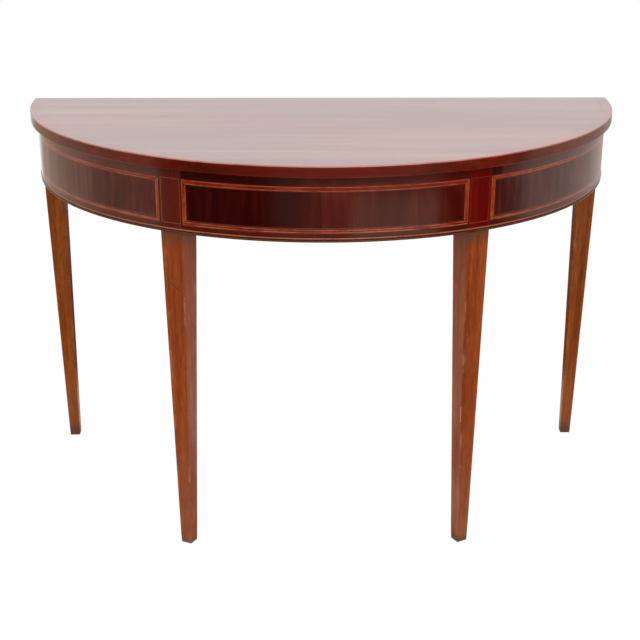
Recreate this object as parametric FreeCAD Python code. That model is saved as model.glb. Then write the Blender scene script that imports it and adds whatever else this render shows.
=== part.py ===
import FreeCAD, Part
import math
import os

# Half-round side table in millimetres, +Z up, the curved front towards -Y.
# The origin is on the floor, under the middle of the box that holds the table.

# Top
table_height = 742.0
top_radius = 580.0
top_back_reach = 8.0
top_thickness = 20.0
top_upper_arris = 1.8
top_lower_arris = 1.2
top_board_count = 3

# Frieze: a core of glued bricks in courses, with veneer on its face
frieze_setback = 13.0
frieze_height = 113.0
core_thickness = 30.0
veneer_thickness = 2.0
glue_line = 0.1
course_names = ("bottom", "middle", "top")
course_brick_counts = (5, 4, 5)
frieze_half_angle = 90.0

# Faces of the frieze, from the bead upwards
bead_height = 8.0
bead_projection = 1.5
lower_border_height = 7.5
upper_border_height = 17.5
band_width = 9.0
string_width = 1.5
string_depth = 1.2
string_inset = 3.0

# Front legs, turned to follow the curve
front_leg_angle = 27.75
front_leg_width = 45.0
front_foot_width = 22.0
front_leg_batter = 1.5
front_foot_lean = 3.0
bridle_web = 14.0
bridle_cheek = 8.0

# Back legs, square to the back
back_leg_width = 39.0
back_foot_width = 21.0
back_leg_batter = 11.0

# All legs
leg_face_setback = 0.5
leg_arris = 1.0

# Tenons on the ends of the frieze, which stop short of the rail's tenons
frieze_tenon_thickness = 10.0
frieze_tenon_shoulder = 14.0
tenon_wall = 5.5
mortise_relief = 1.0

# Back rail and its pegged tenons
rail_thickness = 22.0
rail_lift = 13.0
rail_tenon_thickness = 9.0
rail_tenon_length = 20.0
rail_tenon_shoulder = 12.0
peg_diameter = 7.0
peg_wall = 13.0
peg_clearance = 0.1
peg_height_shares = (0.25, 0.75)

# Bearer under the top, from the front of the frieze to the back rail
bearer_width = 60.0
bearer_thickness = 22.0
bearer_front_housing = 12.0
bearer_back_housing = 10.0
bearer_screw_shares = (0.28, 0.76)

# Screws that hold the top, and the slanted pockets that they stand in
screw_counterbore = 4.0
screw_cover = 6.0
screw_diameter = 5.0
screw_head_diameter = 9.0
screw_head_height = 3.0
screw_tip = 4.0
screw_slot_width = 1.2
screw_slot_depth = 1.2
screw_clearance = 0.15
pocket_diameter = 14.0
pocket_inset = 11.0
pocket_slant = 20.0
frieze_pocket_angles = (-62.0, -10.0, 10.0, 62.0)
rail_pocket_shares = (-0.52, 0.52)

# Glue blocks in the corner under the top
block_size = 22.0
block_length = 55.0
block_nose_share = 0.35
frieze_block_angles = (-72.0, -42.0, 42.0, 72.0)
rail_block_shares = (-0.78, -0.26, 0.26, 0.78)

# Cuts run this far past the faces that they open
overrun = 2.0

# Sizes that follow from the ones above
top_depth = top_radius + top_back_reach
back_edge = top_depth / 2
centre_y = back_edge - top_back_reach
under_top = table_height - top_thickness
frieze_bottom = under_top - frieze_height
face_radius = top_radius - frieze_setback
core_radius = face_radius - veneer_thickness
inner_radius = core_radius - core_thickness
skin_radius = core_radius + glue_line
leg_face_radius = face_radius - leg_face_setback
bead_top = frieze_bottom + bead_height
panel_bottom = bead_top + lower_border_height
panel_top = under_top - upper_border_height
course_height = frieze_height / len(course_names)

front_die_half_angle = math.degrees(math.asin(front_leg_width / 2 / core_radius))
back_die_angle = math.degrees(math.acos(back_leg_width / core_radius))
bays = {
    "left": (-back_die_angle, -front_leg_angle - front_die_half_angle),
    "centre": (-front_leg_angle + front_die_half_angle, front_leg_angle - front_die_half_angle),
    "right": (front_leg_angle + front_die_half_angle, back_die_angle),
}
dies = {
    "back_left": (-frieze_half_angle, -back_die_angle),
    "front_left": (-front_leg_angle - front_die_half_angle, -front_leg_angle + front_die_half_angle),
    "front_right": (front_leg_angle - front_die_half_angle, front_leg_angle + front_die_half_angle),
    "back_right": (back_die_angle, frieze_half_angle),
}
bead_lengths = {
    "left": (-frieze_half_angle, -front_leg_angle),
    "centre": (-front_leg_angle, front_leg_angle),
    "right": (front_leg_angle, frieze_half_angle),
}

back_leg_inner = leg_face_radius - back_leg_width
back_leg_front = centre_y - back_leg_width
rail_front = centre_y - rail_thickness
rail_bottom = frieze_bottom + rail_lift
rail_tenon_front = centre_y - (rail_thickness + rail_tenon_thickness) / 2
rail_tenon_bottom = rail_bottom + rail_tenon_shoulder
rail_tenon_top = under_top - rail_tenon_shoulder
peg_length = back_leg_width - peg_wall
frieze_tenon_length = rail_tenon_front - back_leg_front - tenon_wall
tenon_radius = (inner_radius + core_radius) / 2
web_outer = core_radius - bridle_cheek
web_inner = web_outer - bridle_web
bearer_front = centre_y - inner_radius - bearer_front_housing
bearer_back = rail_front + bearer_back_housing
screw_grip = bearer_thickness - screw_counterbore
screw_length = screw_grip + top_thickness - screw_cover

y_axis = FreeCAD.Vector(0, 1, 0)
z_axis = FreeCAD.Vector(0, 0, 1)


def outward(angle):
    """The direction away from the curve's centre; the angle is 0 at the front and grows towards +X."""
    turn = math.radians(angle)
    return FreeCAD.Vector(math.sin(turn), -math.cos(turn), 0)


def place(radius, angle, height):
    """A point on the curve at this radius, angle and height."""
    return FreeCAD.Vector(0, centre_y, height) + outward(angle) * radius


def degrees_of(arc, radius):
    """The angle that an arc of this length takes up at this radius."""
    return math.degrees(arc / radius)


def box(x_range, y_range, z_range):
    """A block between two values on each axis, in either order."""
    low = FreeCAD.Vector(min(x_range), min(y_range), min(z_range))
    high = FreeCAD.Vector(max(x_range), max(y_range), max(z_range))
    size = high - low
    return Part.makeBox(size.x, size.y, size.z, low)


def turned(shape, angle):
    """A shape drawn with local X pointing outwards, swung round to its angle on the curve."""
    quarter_turn = 90
    swing = FreeCAD.Rotation(z_axis, angle - quarter_turn)
    shape.Placement = FreeCAD.Placement(FreeCAD.Vector(0, centre_y, 0), swing)
    return shape


def prism(points, sweep):
    """A solid from a flat outline pushed along a vector."""
    return Part.Face(Part.makePolygon(points + points[:1])).extrude(sweep)


def sector(radii, angles, heights):
    """A curved slab between two radii, two angles and two heights."""
    inner, outer = radii
    start, end = angles
    low, high = heights
    middle = (start + end) / 2
    edges = [
        Part.Arc(place(outer, start, low), place(outer, middle, low), place(outer, end, low)).toShape(),
        Part.LineSegment(place(outer, end, low), place(inner, end, low)).toShape(),
        Part.Arc(place(inner, end, low), place(inner, middle, low), place(inner, start, low)).toShape(),
        Part.LineSegment(place(inner, start, low), place(outer, start, low)).toShape(),
    ]
    return Part.Face(Part.Wire(edges)).extrude(z_axis * (high - low))


def cut_all(shape, cutters):
    """The shape with every cutter that reaches it taken away."""
    for cutter in cutters:
        if shape.BoundBox.intersect(cutter.BoundBox):
            shape = shape.cut(cutter)
    return shape


def mitre_cutter(radii, angle, height, width, along, up, upright):
    """Wedge that trims a strip at a corner of its frame, along the 45 degree line between two strips.

    The signs along and up point from the corner into the frame. The wedge takes the side that the
    other strip fills: the side of the level strip for an upright one, and the other way round.
    """
    inner, outer = radii
    reach = width + overrun
    side = 1 if upright else -1
    corners = [(-along, -up), (along, up), (side * along, -side * up)]
    start = inner - overrun
    points = [FreeCAD.Vector(start, t * reach, height + z * reach) for t, z in corners]
    return turned(prism(points, FreeCAD.Vector(outer - start + overrun, 0, 0)), angle)


def mitred_frame(radii, angles, heights, width):
    """Four strips, mitred at the corners, that frame a panel on the curve."""
    start, end = angles
    low, high = heights
    turn = degrees_of(width, radii[1])
    spill = degrees_of(overrun, radii[1])
    long_run = (start - spill, end + spill)
    tall_run = (low - overrun, high + overrun)
    strips = {
        "bottom": sector(radii, long_run, (low, low + width)),
        "top": sector(radii, long_run, (high - width, high)),
        "left": sector(radii, (start, start + turn), tall_run),
        "right": sector(radii, (end - turn, end), tall_run),
    }
    corners = {
        ("bottom", "left"): (start, low, 1, 1),
        ("bottom", "right"): (end, low, -1, 1),
        ("top", "left"): (start, high, 1, -1),
        ("top", "right"): (end, high, -1, -1),
    }
    for (level, upright), (angle, height, along, up) in corners.items():
        wedge = mitre_cutter(radii, angle, height, width, along, up, False)
        strips[level] = strips[level].cut(wedge)
        wedge = mitre_cutter(radii, angle, height, width, along, up, True)
        strips[upright] = strips[upright].cut(wedge)
    return strips


def screw_seats():
    """Where each screw's head bears, and the direction that the screw points."""
    slant = math.radians(pocket_slant)
    spots = [(place(inner_radius + pocket_inset, angle, under_top), outward(angle))
             for angle in frieze_pocket_angles]
    for share in rail_pocket_shares:
        spots.append((FreeCAD.Vector(share * back_leg_inner, rail_front + pocket_inset, under_top), y_axis))
    seats = []
    for spot, away in spots:
        axis = z_axis * math.cos(slant) + away * math.sin(slant)
        seats.append((spot - axis * screw_grip, axis))
    for share in bearer_screw_shares:
        y = bearer_front + share * (bearer_back - bearer_front)
        seats.append((FreeCAD.Vector(0, y, under_top - screw_grip), z_axis))
    return seats


def screw_holes():
    """A pocket for each head and a hole for each shank."""
    cutters = []
    hole_radius = screw_diameter / 2 + screw_clearance
    for seat, axis in screw_seats():
        cutters.append(Part.makeCylinder(pocket_diameter / 2, frieze_height, seat, -axis))
        cutters.append(Part.makeCylinder(hole_radius, screw_length + screw_clearance, seat, axis))
    return cutters


def top_screws():
    """Slotted wood screws with pointed tips, one in each pocket."""
    screws = []
    radius = screw_diameter / 2
    straight = screw_length - screw_tip
    slot_low = -screw_head_height - overrun
    slot_high = -screw_head_height + screw_slot_depth
    slot_half = screw_slot_width / 2
    for seat, axis in screw_seats():
        head = Part.makeCylinder(screw_head_diameter / 2, screw_head_height, -z_axis * screw_head_height)
        shank = Part.makeCylinder(radius, straight)
        tip = Part.makeCone(radius, 0, screw_tip, z_axis * straight)
        slot_length = (-screw_head_diameter, screw_head_diameter)
        slot = box(slot_length, (-slot_half, slot_half), (slot_low, slot_high))
        screw = head.fuse([shank, tip]).removeSplitter().cut(slot)
        screw.Placement = FreeCAD.Placement(seat, FreeCAD.Rotation(z_axis, axis))
        screws.append(screw)
    return screws


def eased_section(angle):
    """The section of the top from the curve's centre out to its edge, with both arrises eased."""
    low_in = top_radius - top_lower_arris
    high_in = top_radius - top_upper_arris
    outline = [(0, under_top), (low_in, under_top), (top_radius, under_top + top_lower_arris),
               (top_radius, table_height - top_upper_arris), (high_in, table_height), (0, table_height)]
    points = [place(radius, angle, height) for radius, height in outline]
    return Part.Face(Part.makePolygon(points + points[:1]))


def top_boards():
    """The half-round top with a straight strip behind the curve, in boards glued edge to edge."""
    half_turn = 2 * frieze_half_angle
    slab = eased_section(-frieze_half_angle).revolve(FreeCAD.Vector(0, centre_y, 0), z_axis, half_turn)
    for side in (-frieze_half_angle, frieze_half_angle):
        slab = slab.fuse(eased_section(side).extrude(y_axis * top_back_reach))
    slab = cut_all(slab.removeSplitter(), screw_holes())
    board_width = top_depth / top_board_count
    width = (-top_radius, top_radius)
    boards = []
    for number in range(top_board_count):
        front_line = number * board_width - back_edge
        strip = box(width, (front_line, front_line + board_width), (under_top, table_height))
        boards.append(slab.common(strip))
    return boards


def bearer_blank(extra_height):
    """The bearer's full block; extra height makes it the cutter for its housings."""
    half = bearer_width / 2
    heights = (under_top - bearer_thickness, under_top + extra_height)
    return box((-half, half), (bearer_front, bearer_back), heights)


def bridle_notches():
    """Cuts on both faces of the core that leave a web for each front leg to straddle."""
    half = front_leg_width / 2
    heights = (frieze_bottom - overrun, under_top + overrun)
    notches = []
    for angle in (-front_leg_angle, front_leg_angle):
        for depths in ((web_outer, core_radius + overrun), (inner_radius - overrun, web_inner)):
            notches.append(turned(box(depths, (-half, half), heights), angle))
    return notches


def frieze_tenon(side, length, heights):
    """The tenon on one end of the frieze, from inside the core into the back leg."""
    half = frieze_tenon_thickness / 2
    faces = (side * (tenon_radius - half), side * (tenon_radius + half))
    root = back_leg_front - frieze_tenon_length
    return box(faces, (root, back_leg_front + length), heights)


def core_bricks():
    """Curved bricks in staggered courses, tenoned into the back legs at both ends."""
    cutters = bridle_notches() + screw_holes() + [bearer_blank(overrun)]
    tenon_low = frieze_bottom + frieze_tenon_shoulder
    tenon_high = under_top - frieze_tenon_shoulder
    wide = top_radius
    bricks = {}
    for level, (course, count) in enumerate(zip(course_names, course_brick_counts)):
        low = frieze_bottom + level * course_height
        high = low + course_height
        step = 2 * frieze_half_angle / count
        past_leg = box((-wide, wide), (back_leg_front, back_edge), (low - overrun, high + overrun))
        for number in range(count):
            start = number * step - frieze_half_angle
            brick = sector((inner_radius, core_radius), (start, start + step), (low, high))
            side = {0: -1, count - 1: 1}.get(number)
            if side:
                heights = (max(low, tenon_low), min(high, tenon_high))
                tenon = frieze_tenon(side, frieze_tenon_length, heights)
                brick = brick.cut(past_leg).fuse(tenon).removeSplitter()
            bricks[f"core_{course}_{number + 1}"] = cut_all(brick, cutters)
    return bricks


def tapered(top_ranges, foot_ranges):
    """The leg below the frieze: a square taper with eased arrises."""
    wires = []
    for (x_range, y_range), height in ((foot_ranges, 0), (top_ranges, frieze_bottom)):
        (x0, x1), (y0, y1) = (sorted(x_range), sorted(y_range))
        e = leg_arris
        outline = [(x0 + e, y0), (x1 - e, y0), (x1, y0 + e), (x1, y1 - e),
                   (x1 - e, y1), (x0 + e, y1), (x0, y1 - e), (x0, y0 + e)]
        points = [FreeCAD.Vector(x, y, height) for x, y in outline]
        wires.append(Part.makePolygon(points + points[:1]))
    return Part.makeLoft(wires, True, True)


def front_leg(angle):
    """A leg with a fork at its top that straddles the frieze core; its foot leans to the table's middle."""
    half = front_leg_width / 2
    foot_half = front_foot_width / 2
    foot_middle = -math.copysign(front_foot_lean, angle)
    foot_face = leg_face_radius - front_leg_batter
    depth = (leg_face_radius - front_leg_width, leg_face_radius)
    foot_depth = (foot_face - front_foot_width, foot_face)
    taper = tapered((depth, (-half, half)), (foot_depth, (foot_middle - foot_half, foot_middle + foot_half)))
    post = box(depth, (-half, half), (frieze_bottom, under_top))
    post = post.common(Part.makeCylinder(core_radius, under_top))
    fork = box((web_inner, web_outer), (-front_leg_width, front_leg_width), (frieze_bottom, table_height))
    return turned(taper.fuse(post.cut(fork)).removeSplitter(), angle)


def rail_tenon(side, length):
    """The tenon on one end of the back rail, from inside the rail into the back leg."""
    reach = (side * (back_leg_inner - rail_tenon_length), side * (back_leg_inner + length))
    faces = (rail_tenon_front, rail_tenon_front + rail_tenon_thickness)
    return box(reach, faces, (rail_tenon_bottom, rail_tenon_top))


def peg_spots(side):
    """Where the two pegs of one back leg start, on its back face."""
    x = side * (back_leg_inner + rail_tenon_length / 2)
    span = rail_tenon_top - rail_tenon_bottom
    return [FreeCAD.Vector(x, centre_y, rail_tenon_bottom + share * span) for share in peg_height_shares]


def peg(spot, clearance):
    """A round peg driven in from the back, or its hole when a clearance is given."""
    return Part.makeCylinder(peg_diameter / 2 + clearance, peg_length, spot, -y_axis)


def peg_holes():
    """The bores for all pegs."""
    return [peg(spot, peg_clearance) for side in (-1, 1) for spot in peg_spots(side)]


def back_leg(side):
    """A leg square to the back, with mortises for the frieze and the back rail."""
    outer = leg_face_radius
    foot_outer = outer - back_leg_batter
    x_top = (side * back_leg_inner, side * outer)
    x_foot = (side * (foot_outer - back_foot_width), side * foot_outer)
    taper = tapered((x_top, (back_leg_front, centre_y)), (x_foot, (centre_y - back_foot_width, centre_y)))
    post = box(x_top, (back_leg_front, centre_y), (frieze_bottom, under_top))
    post = post.common(Part.makeCylinder(core_radius, under_top, FreeCAD.Vector(0, centre_y, 0)))
    heights = (frieze_bottom + frieze_tenon_shoulder, under_top - frieze_tenon_shoulder)
    mortises = [frieze_tenon(side, frieze_tenon_length + mortise_relief, heights),
                rail_tenon(side, rail_tenon_length + mortise_relief)]
    return cut_all(taper.fuse(post).removeSplitter(), mortises + peg_holes())


def back_rail():
    """The straight rail between the back legs."""
    span = (-back_leg_inner, back_leg_inner)
    rail = box(span, (rail_front, centre_y), (rail_bottom, under_top))
    rail = rail.fuse([rail_tenon(side, rail_tenon_length) for side in (-1, 1)]).removeSplitter()
    return cut_all(rail, peg_holes() + screw_holes() + [bearer_blank(overrun)])


def block_outline():
    """Depth and drop of each corner of a glue block, from the corner that it fills."""
    nose = block_size * block_nose_share
    return [(0, 0), (block_size, 0), (block_size, nose), (nose, block_size), (0, block_size)]


def frieze_blocks():
    """Glue blocks that follow the inside of the curve."""
    back = inner_radius - glue_line
    swing = degrees_of(block_length, inner_radius)
    blocks = []
    for angle in frieze_block_angles:
        start = angle - swing / 2
        points = [place(back - depth, start, under_top - drop) for depth, drop in block_outline()]
        face = Part.Face(Part.makePolygon(points + points[:1]))
        blocks.append(face.revolve(FreeCAD.Vector(0, centre_y, 0), z_axis, swing))
    return blocks


def rail_blocks():
    """Glue blocks along the back rail."""
    blocks = []
    for share in rail_block_shares:
        start = share * back_leg_inner - block_length / 2
        points = [FreeCAD.Vector(start, rail_front - depth, under_top - drop)
                  for depth, drop in block_outline()]
        blocks.append(prism(points, FreeCAD.Vector(block_length, 0, 0)))
    return blocks


def bay_veneers(bay):
    """Borders, banding and field of one bay between two legs."""
    angles = bays[bay]
    radii = (skin_radius, face_radius)
    inset = degrees_of(band_width, face_radius)
    field_angles = (angles[0] + inset, angles[1] - inset)
    veneers = {
        f"{bay}_upper_border": sector(radii, angles, (panel_top, under_top)),
        f"{bay}_lower_border": sector(radii, angles, (bead_top, panel_bottom)),
        f"{bay}_panel": sector(radii, field_angles, (panel_bottom + band_width, panel_top - band_width)),
    }
    bands = mitred_frame(radii, angles, (panel_bottom, panel_top), band_width)
    for side, strip in bands.items():
        veneers[f"{bay}_band_{side}"] = strip
    return veneers


def die_pieces(name):
    """The veneer over the head of a leg, and the stringing let into it."""
    start, end = dies[name]
    inset = degrees_of(string_inset, face_radius)
    groove_floor = face_radius - string_depth
    line_angles = (start + inset, end - inset)
    line_heights = (panel_bottom, panel_top)
    turn = degrees_of(string_width, face_radius)
    groove_radii = (groove_floor, face_radius + overrun)
    island = sector(groove_radii, (line_angles[0] + turn, line_angles[1] - turn),
                    (panel_bottom + string_width, panel_top - string_width))
    groove = sector(groove_radii, line_angles, line_heights).cut(island)
    veneer = sector((skin_radius, face_radius), (start, end), (bead_top, under_top)).cut(groove)
    strings = mitred_frame((groove_floor + glue_line, face_radius), line_angles, line_heights, string_width)
    return {f"{name}_die": veneer, f"{name}_stringing": Part.makeCompound(list(strings.values()))}


def bead(angles):
    """A round-nosed bead along the foot of the frieze."""
    start, end = angles
    nose = face_radius + bead_projection
    middle = (frieze_bottom + bead_top) / 2
    low_back = place(skin_radius, start, frieze_bottom)
    low_face = place(face_radius, start, frieze_bottom)
    high_face = place(face_radius, start, bead_top)
    high_back = place(skin_radius, start, bead_top)
    edges = [
        Part.LineSegment(low_back, low_face).toShape(),
        Part.Arc(low_face, place(nose, start, middle), high_face).toShape(),
        Part.LineSegment(high_face, high_back).toShape(),
        Part.LineSegment(high_back, low_back).toShape(),
    ]
    return Part.Face(Part.Wire(edges)).revolve(FreeCAD.Vector(0, centre_y, 0), z_axis, end - start)


def all_pieces():
    """Every piece of the table by name."""
    front_board, middle_board, back_board = top_boards()
    pieces = {"top_front_board": front_board, "top_middle_board": middle_board, "top_back_board": back_board}
    pieces.update(core_bricks())
    pieces["front_left_leg"] = front_leg(-front_leg_angle)
    pieces["front_right_leg"] = front_leg(front_leg_angle)
    pieces["back_left_leg"] = back_leg(-1)
    pieces["back_right_leg"] = back_leg(1)
    pieces["back_rail"] = back_rail()
    pieces["centre_bearer"] = cut_all(bearer_blank(0), screw_holes())
    pieces["top_screws"] = Part.makeCompound(top_screws())
    pieces["rail_pegs"] = Part.makeCompound([peg(spot, 0) for side in (-1, 1) for spot in peg_spots(side)])
    pieces["frieze_blocks"] = Part.makeCompound(frieze_blocks())
    pieces["rail_blocks"] = Part.makeCompound(rail_blocks())
    for bay in bays:
        pieces.update(bay_veneers(bay))
    for die in dies:
        pieces.update(die_pieces(die))
    for length, angles in bead_lengths.items():
        pieces[f"{length}_bead"] = bead(angles)
    return pieces


os.makedirs("parts", exist_ok=True)
for node, piece in all_pieces().items():
    piece.exportStep(f"parts/{node}.step")
    print(node, len(piece.Solids), round(piece.Volume), piece.isValid())
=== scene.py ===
"""Looks of a half-round mahogany side table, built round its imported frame."""

import logging
import math
from dataclasses import astuple, dataclass, replace
from enum import Enum
from typing import Any, Callable, Iterator, Optional, Sequence, Union

import bmesh
import bpy
from mathutils import Matrix, Vector, noise


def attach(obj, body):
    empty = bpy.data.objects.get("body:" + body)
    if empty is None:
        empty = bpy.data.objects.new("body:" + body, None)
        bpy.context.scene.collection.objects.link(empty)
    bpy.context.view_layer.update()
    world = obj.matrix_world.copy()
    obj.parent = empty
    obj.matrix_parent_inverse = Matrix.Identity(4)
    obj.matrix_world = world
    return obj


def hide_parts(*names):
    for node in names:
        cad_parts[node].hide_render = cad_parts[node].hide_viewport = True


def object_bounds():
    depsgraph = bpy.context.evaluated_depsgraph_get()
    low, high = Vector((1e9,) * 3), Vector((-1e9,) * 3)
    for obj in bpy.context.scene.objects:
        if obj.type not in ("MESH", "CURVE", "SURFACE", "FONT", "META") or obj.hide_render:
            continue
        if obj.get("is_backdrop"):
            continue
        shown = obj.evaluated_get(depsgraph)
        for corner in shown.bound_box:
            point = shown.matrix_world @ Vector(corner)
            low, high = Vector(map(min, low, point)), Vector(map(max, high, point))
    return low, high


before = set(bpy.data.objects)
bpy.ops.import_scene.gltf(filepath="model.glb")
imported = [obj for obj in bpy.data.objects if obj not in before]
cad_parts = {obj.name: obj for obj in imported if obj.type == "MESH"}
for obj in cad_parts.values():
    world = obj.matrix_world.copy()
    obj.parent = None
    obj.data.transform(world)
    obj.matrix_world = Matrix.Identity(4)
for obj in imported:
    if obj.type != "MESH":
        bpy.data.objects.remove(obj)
CAD_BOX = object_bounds()

LOG = logging.getLogger("side_table")
MM = 0.001
ROOT_BODY = "root"
SHARP_EDGE = math.radians(47.0)
QUARTER_TURN = 90.0
MATRIX_SIZE = 4
NOISE_MEAN = 0.5

Colour = tuple[float, float, float]
Tones = tuple[Colour, Colour, Colour]
Profile = list[tuple[float, float, float]]
Scales = tuple[float, float, float]
Flat = tuple[float, float]
Value = Union["Signal", float]
GrainMap = Callable[[float, float, float], Scales]
WHITE: Colour = (1.0, 1.0, 1.0)


class Slot(Enum):
    """The record's material slots for the pieces that are made here."""

    TOP = "top_mahogany"
    LEG = "leg_mahogany"
    PANEL = "panel_veneer"
    BORDER = "border_veneer"
    DIE = "die_veneer"
    BANDING = "banding"
    STRINGING = "stringing"
    BEAD = "bead"
    PEG = "peg_oak"


class Side(Enum):
    """Left and right halves of the table, as signs along X."""

    LEFT = -1
    RIGHT = 1


class Strip(Enum):
    """The four strips of a frame round a panel or a die."""

    BOTTOM = "bottom"
    RIGHT = "right"
    TOP = "top"
    LEFT = "left"

    @property
    def level(self) -> bool:
        """Whether the strip runs along the frieze rather than up it."""
        return self in (Strip.BOTTOM, Strip.TOP)

    @property
    def inward(self) -> int:
        """Which way the middle of the frame lies, across the strip."""
        return 1 if self in (Strip.BOTTOM, Strip.LEFT) else -1

    @property
    def number(self) -> int:
        """The strip's place in the frame, anticlockwise from the bottom."""
        return list(Strip).index(self)

    def corners(self, outside: Sequence[Flat], inside: Sequence[Flat]) -> tuple[Flat, ...]:
        """Cut the mitred strip out of a frame between two outlines."""
        after = (self.number + 1) % len(outside)
        return (outside[self.number], outside[after], inside[after], inside[self.number])


class Signal:
    """A node's output that can stand in a Python expression."""

    def __init__(self, bench: "Bench", socket: Optional[bpy.types.NodeSocket]) -> None:
        """Keep the socket and the bench that its nodes are made on."""
        self.bench = bench
        self.socket = socket

    def _sum(self, operation: str, first: Value, second: Value = 0.0) -> "Signal":
        """Make a Math node from two values."""
        return self.bench.add("Math", {"operation": operation}, {0: first, 1: second})

    def __add__(self, other: Value) -> "Signal":
        """Add a value."""
        return self._sum("ADD", self, other)

    def __radd__(self, other: Value) -> "Signal":
        """Add to a number."""
        return self._sum("ADD", other, self)

    def __sub__(self, other: Value) -> "Signal":
        """Take a value away."""
        return self._sum("SUBTRACT", self, other)

    def __rsub__(self, other: Value) -> "Signal":
        """Take this away from a number."""
        return self._sum("SUBTRACT", other, self)

    def __mul__(self, other: Value) -> "Signal":
        """Multiply by a value."""
        return self._sum("MULTIPLY", self, other)

    def __rmul__(self, other: Value) -> "Signal":
        """Multiply a number."""
        return self._sum("MULTIPLY", other, self)

    def __truediv__(self, other: Value) -> "Signal":
        """Divide by a value."""
        return self._sum("DIVIDE", self, other)

    def __rtruediv__(self, other: Value) -> "Signal":
        """Divide a number."""
        return self._sum("DIVIDE", other, self)

    def __abs__(self) -> "Signal":
        """Drop the sign."""
        return self._sum("ABSOLUTE", self)

    def __floor__(self) -> "Signal":
        """Round down to a whole number."""
        return self._sum("FLOOR", self)

    def __mod__(self, other: Value) -> "Signal":
        """Keep what is left over after whole steps."""
        return self._sum("FLOORED_MODULO", self, other)

    def __rmod__(self, other: Value) -> "Signal":
        """Keep what is left of a number after whole steps."""
        return self._sum("FLOORED_MODULO", other, self)

    def heading(self, other: Value) -> "Signal":
        """Turn two sides of a right angle into degrees."""
        return self._sum("ARCTAN2", self, other) * math.degrees(1.0)

    def larger(self, other: Value) -> "Signal":
        """Keep the larger of two values."""
        return self._sum("MAXIMUM", self, other)

    def smaller(self, other: Value) -> "Signal":
        """Keep the smaller of two values."""
        return self._sum("MINIMUM", self, other)

    def step(self, low: float, high: float) -> "Signal":
        """Rise smoothly from 0 at the low value to 1 at the high one."""
        settings = {"interpolation_type": "SMOOTHSTEP"}
        return self.bench.add("MapRange", settings, {"Value": self, "From Min": low, "From Max": high})


class Bench:
    """One node tree, and the only place where its nodes are made."""

    MIX_FACTOR = 0
    MIX_FIRST = 6
    MIX_SECOND = 7
    MIX_RESULT = 2

    def __init__(self, tree: bpy.types.NodeTree) -> None:
        """Clear the tree, so that every node in it is made here."""
        self.tree = tree
        tree.nodes.clear()

    def add(self, kind: str, settings: Optional[dict[str, Any]] = None,
            inputs: Optional[dict[Union[int, str], Any]] = None, output: Union[int, str] = 0) -> Signal:
        """Make one node.

        Args:
            kind: The node's type, without the prefix that all shader nodes share.
            settings: Properties that are set first; stops are a ramp's positions and colours.
            inputs: Numbers, colours or signals for the sockets, by name or place.
            output: The output that is handed back.

        Returns:
            The chosen output.
        """
        node = self.tree.nodes.new("ShaderNode" + kind)
        for key, value in (settings or {}).items():
            if key == "stops":
                self._set_stops(node.color_ramp, value)
            else:
                setattr(node, key, value)
        for key, value in (inputs or {}).items():
            self._feed(node.inputs[key], value)
        return Signal(self, node.outputs[output] if len(node.outputs) else None)

    def _feed(self, socket: bpy.types.NodeSocket, value: Any) -> None:
        """Link a signal to a socket, or set the socket's own value.

        Args:
            socket: The input to feed.
            value: A signal, a number, a colour or a vector.
        """
        if isinstance(value, Signal):
            self.tree.links.new(value.socket, socket)
        elif socket.type == "RGBA":
            socket.default_value = (*value, 1.0)
        else:
            socket.default_value = value

    @staticmethod
    def _set_stops(ramp: bpy.types.ColorRamp, stops: Sequence[tuple[float, Colour]]) -> None:
        """Give a ramp its positions and colours.

        Args:
            ramp: The ramp.
            stops: Each position with its colour, in order.
        """
        while len(ramp.elements) < len(stops):
            ramp.elements.new(1.0)
        for element, (position, colour) in zip(ramp.elements, stops):
            element.position = position
            element.color = (*colour, 1.0)

    def attribute(self, name: str, output: str) -> Signal:
        """Read what the mesh stores at its points."""
        return self.add("Attribute", {"attribute_name": name}, None, output)

    def stretch(self, vector: Signal, scales: Scales) -> Signal:
        """Scale a vector along each axis."""
        return self.add("VectorMath", {"operation": "MULTIPLY"}, {0: vector, 1: scales})

    def shift(self, vector: Signal, offset: Scales) -> Signal:
        """Move a vector."""
        return self.add("VectorMath", {"operation": "ADD"}, {0: vector, 1: offset})

    def measure(self, operation: str, first: Signal, second: Any = (0.0, 0.0, 0.0)) -> Signal:
        """Turn one vector or two into a number."""
        return self.add("VectorMath", {"operation": operation}, {0: first, 1: second}, "Value")

    def parts(self, vector: Signal) -> tuple[Signal, ...]:
        """Split a vector into its three values."""
        first = self.add("SeparateXYZ", None, {"Vector": vector})
        return tuple(Signal(self, socket) for socket in first.socket.node.outputs)

    def joined(self, x: Value, y: Value, z: Value) -> Signal:
        """Make a vector from three values."""
        return self.add("CombineXYZ", None, {"X": x, "Y": y, "Z": z})

    def ramp(self, tone: Signal, places: Sequence[float], colours: Sequence[Colour]) -> Signal:
        """Turn a value into a colour."""
        return self.add("ValToRGB", {"stops": tuple(zip(places, colours))}, {"Fac": tone})

    def blend(self, share: Value, first: Any, second: Any, way: str = "MIX") -> Signal:
        """Mix two colours.

        Args:
            share: How much of the second colour there is.
            first: The colour underneath.
            second: The colour on top.
            way: How the two meet.

        Returns:
            The mixed colour.
        """
        inputs = {self.MIX_FACTOR: share, self.MIX_FIRST: first, self.MIX_SECOND: second}
        return self.add("Mix", {"data_type": "RGBA", "blend_type": way}, inputs, self.MIX_RESULT)

    def bump(self, height: Signal, depth: float) -> Signal:
        """Turn a height into a normal; the depth is in metres."""
        return self.add("Bump", None, {"Height": height, "Distance": depth, "Strength": 1.0})

    def surface(self, **looks: Any) -> None:
        """Finish the tree with one surface.

        Args:
            looks: The surface's inputs by name, with underscores for spaces.
        """
        inputs = {key.replace("_", " "): value for key, value in looks.items()}
        shader = self.add("BsdfPrincipled", None, inputs)
        self.add("OutputMaterial", None, {"Surface": shader})


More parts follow.
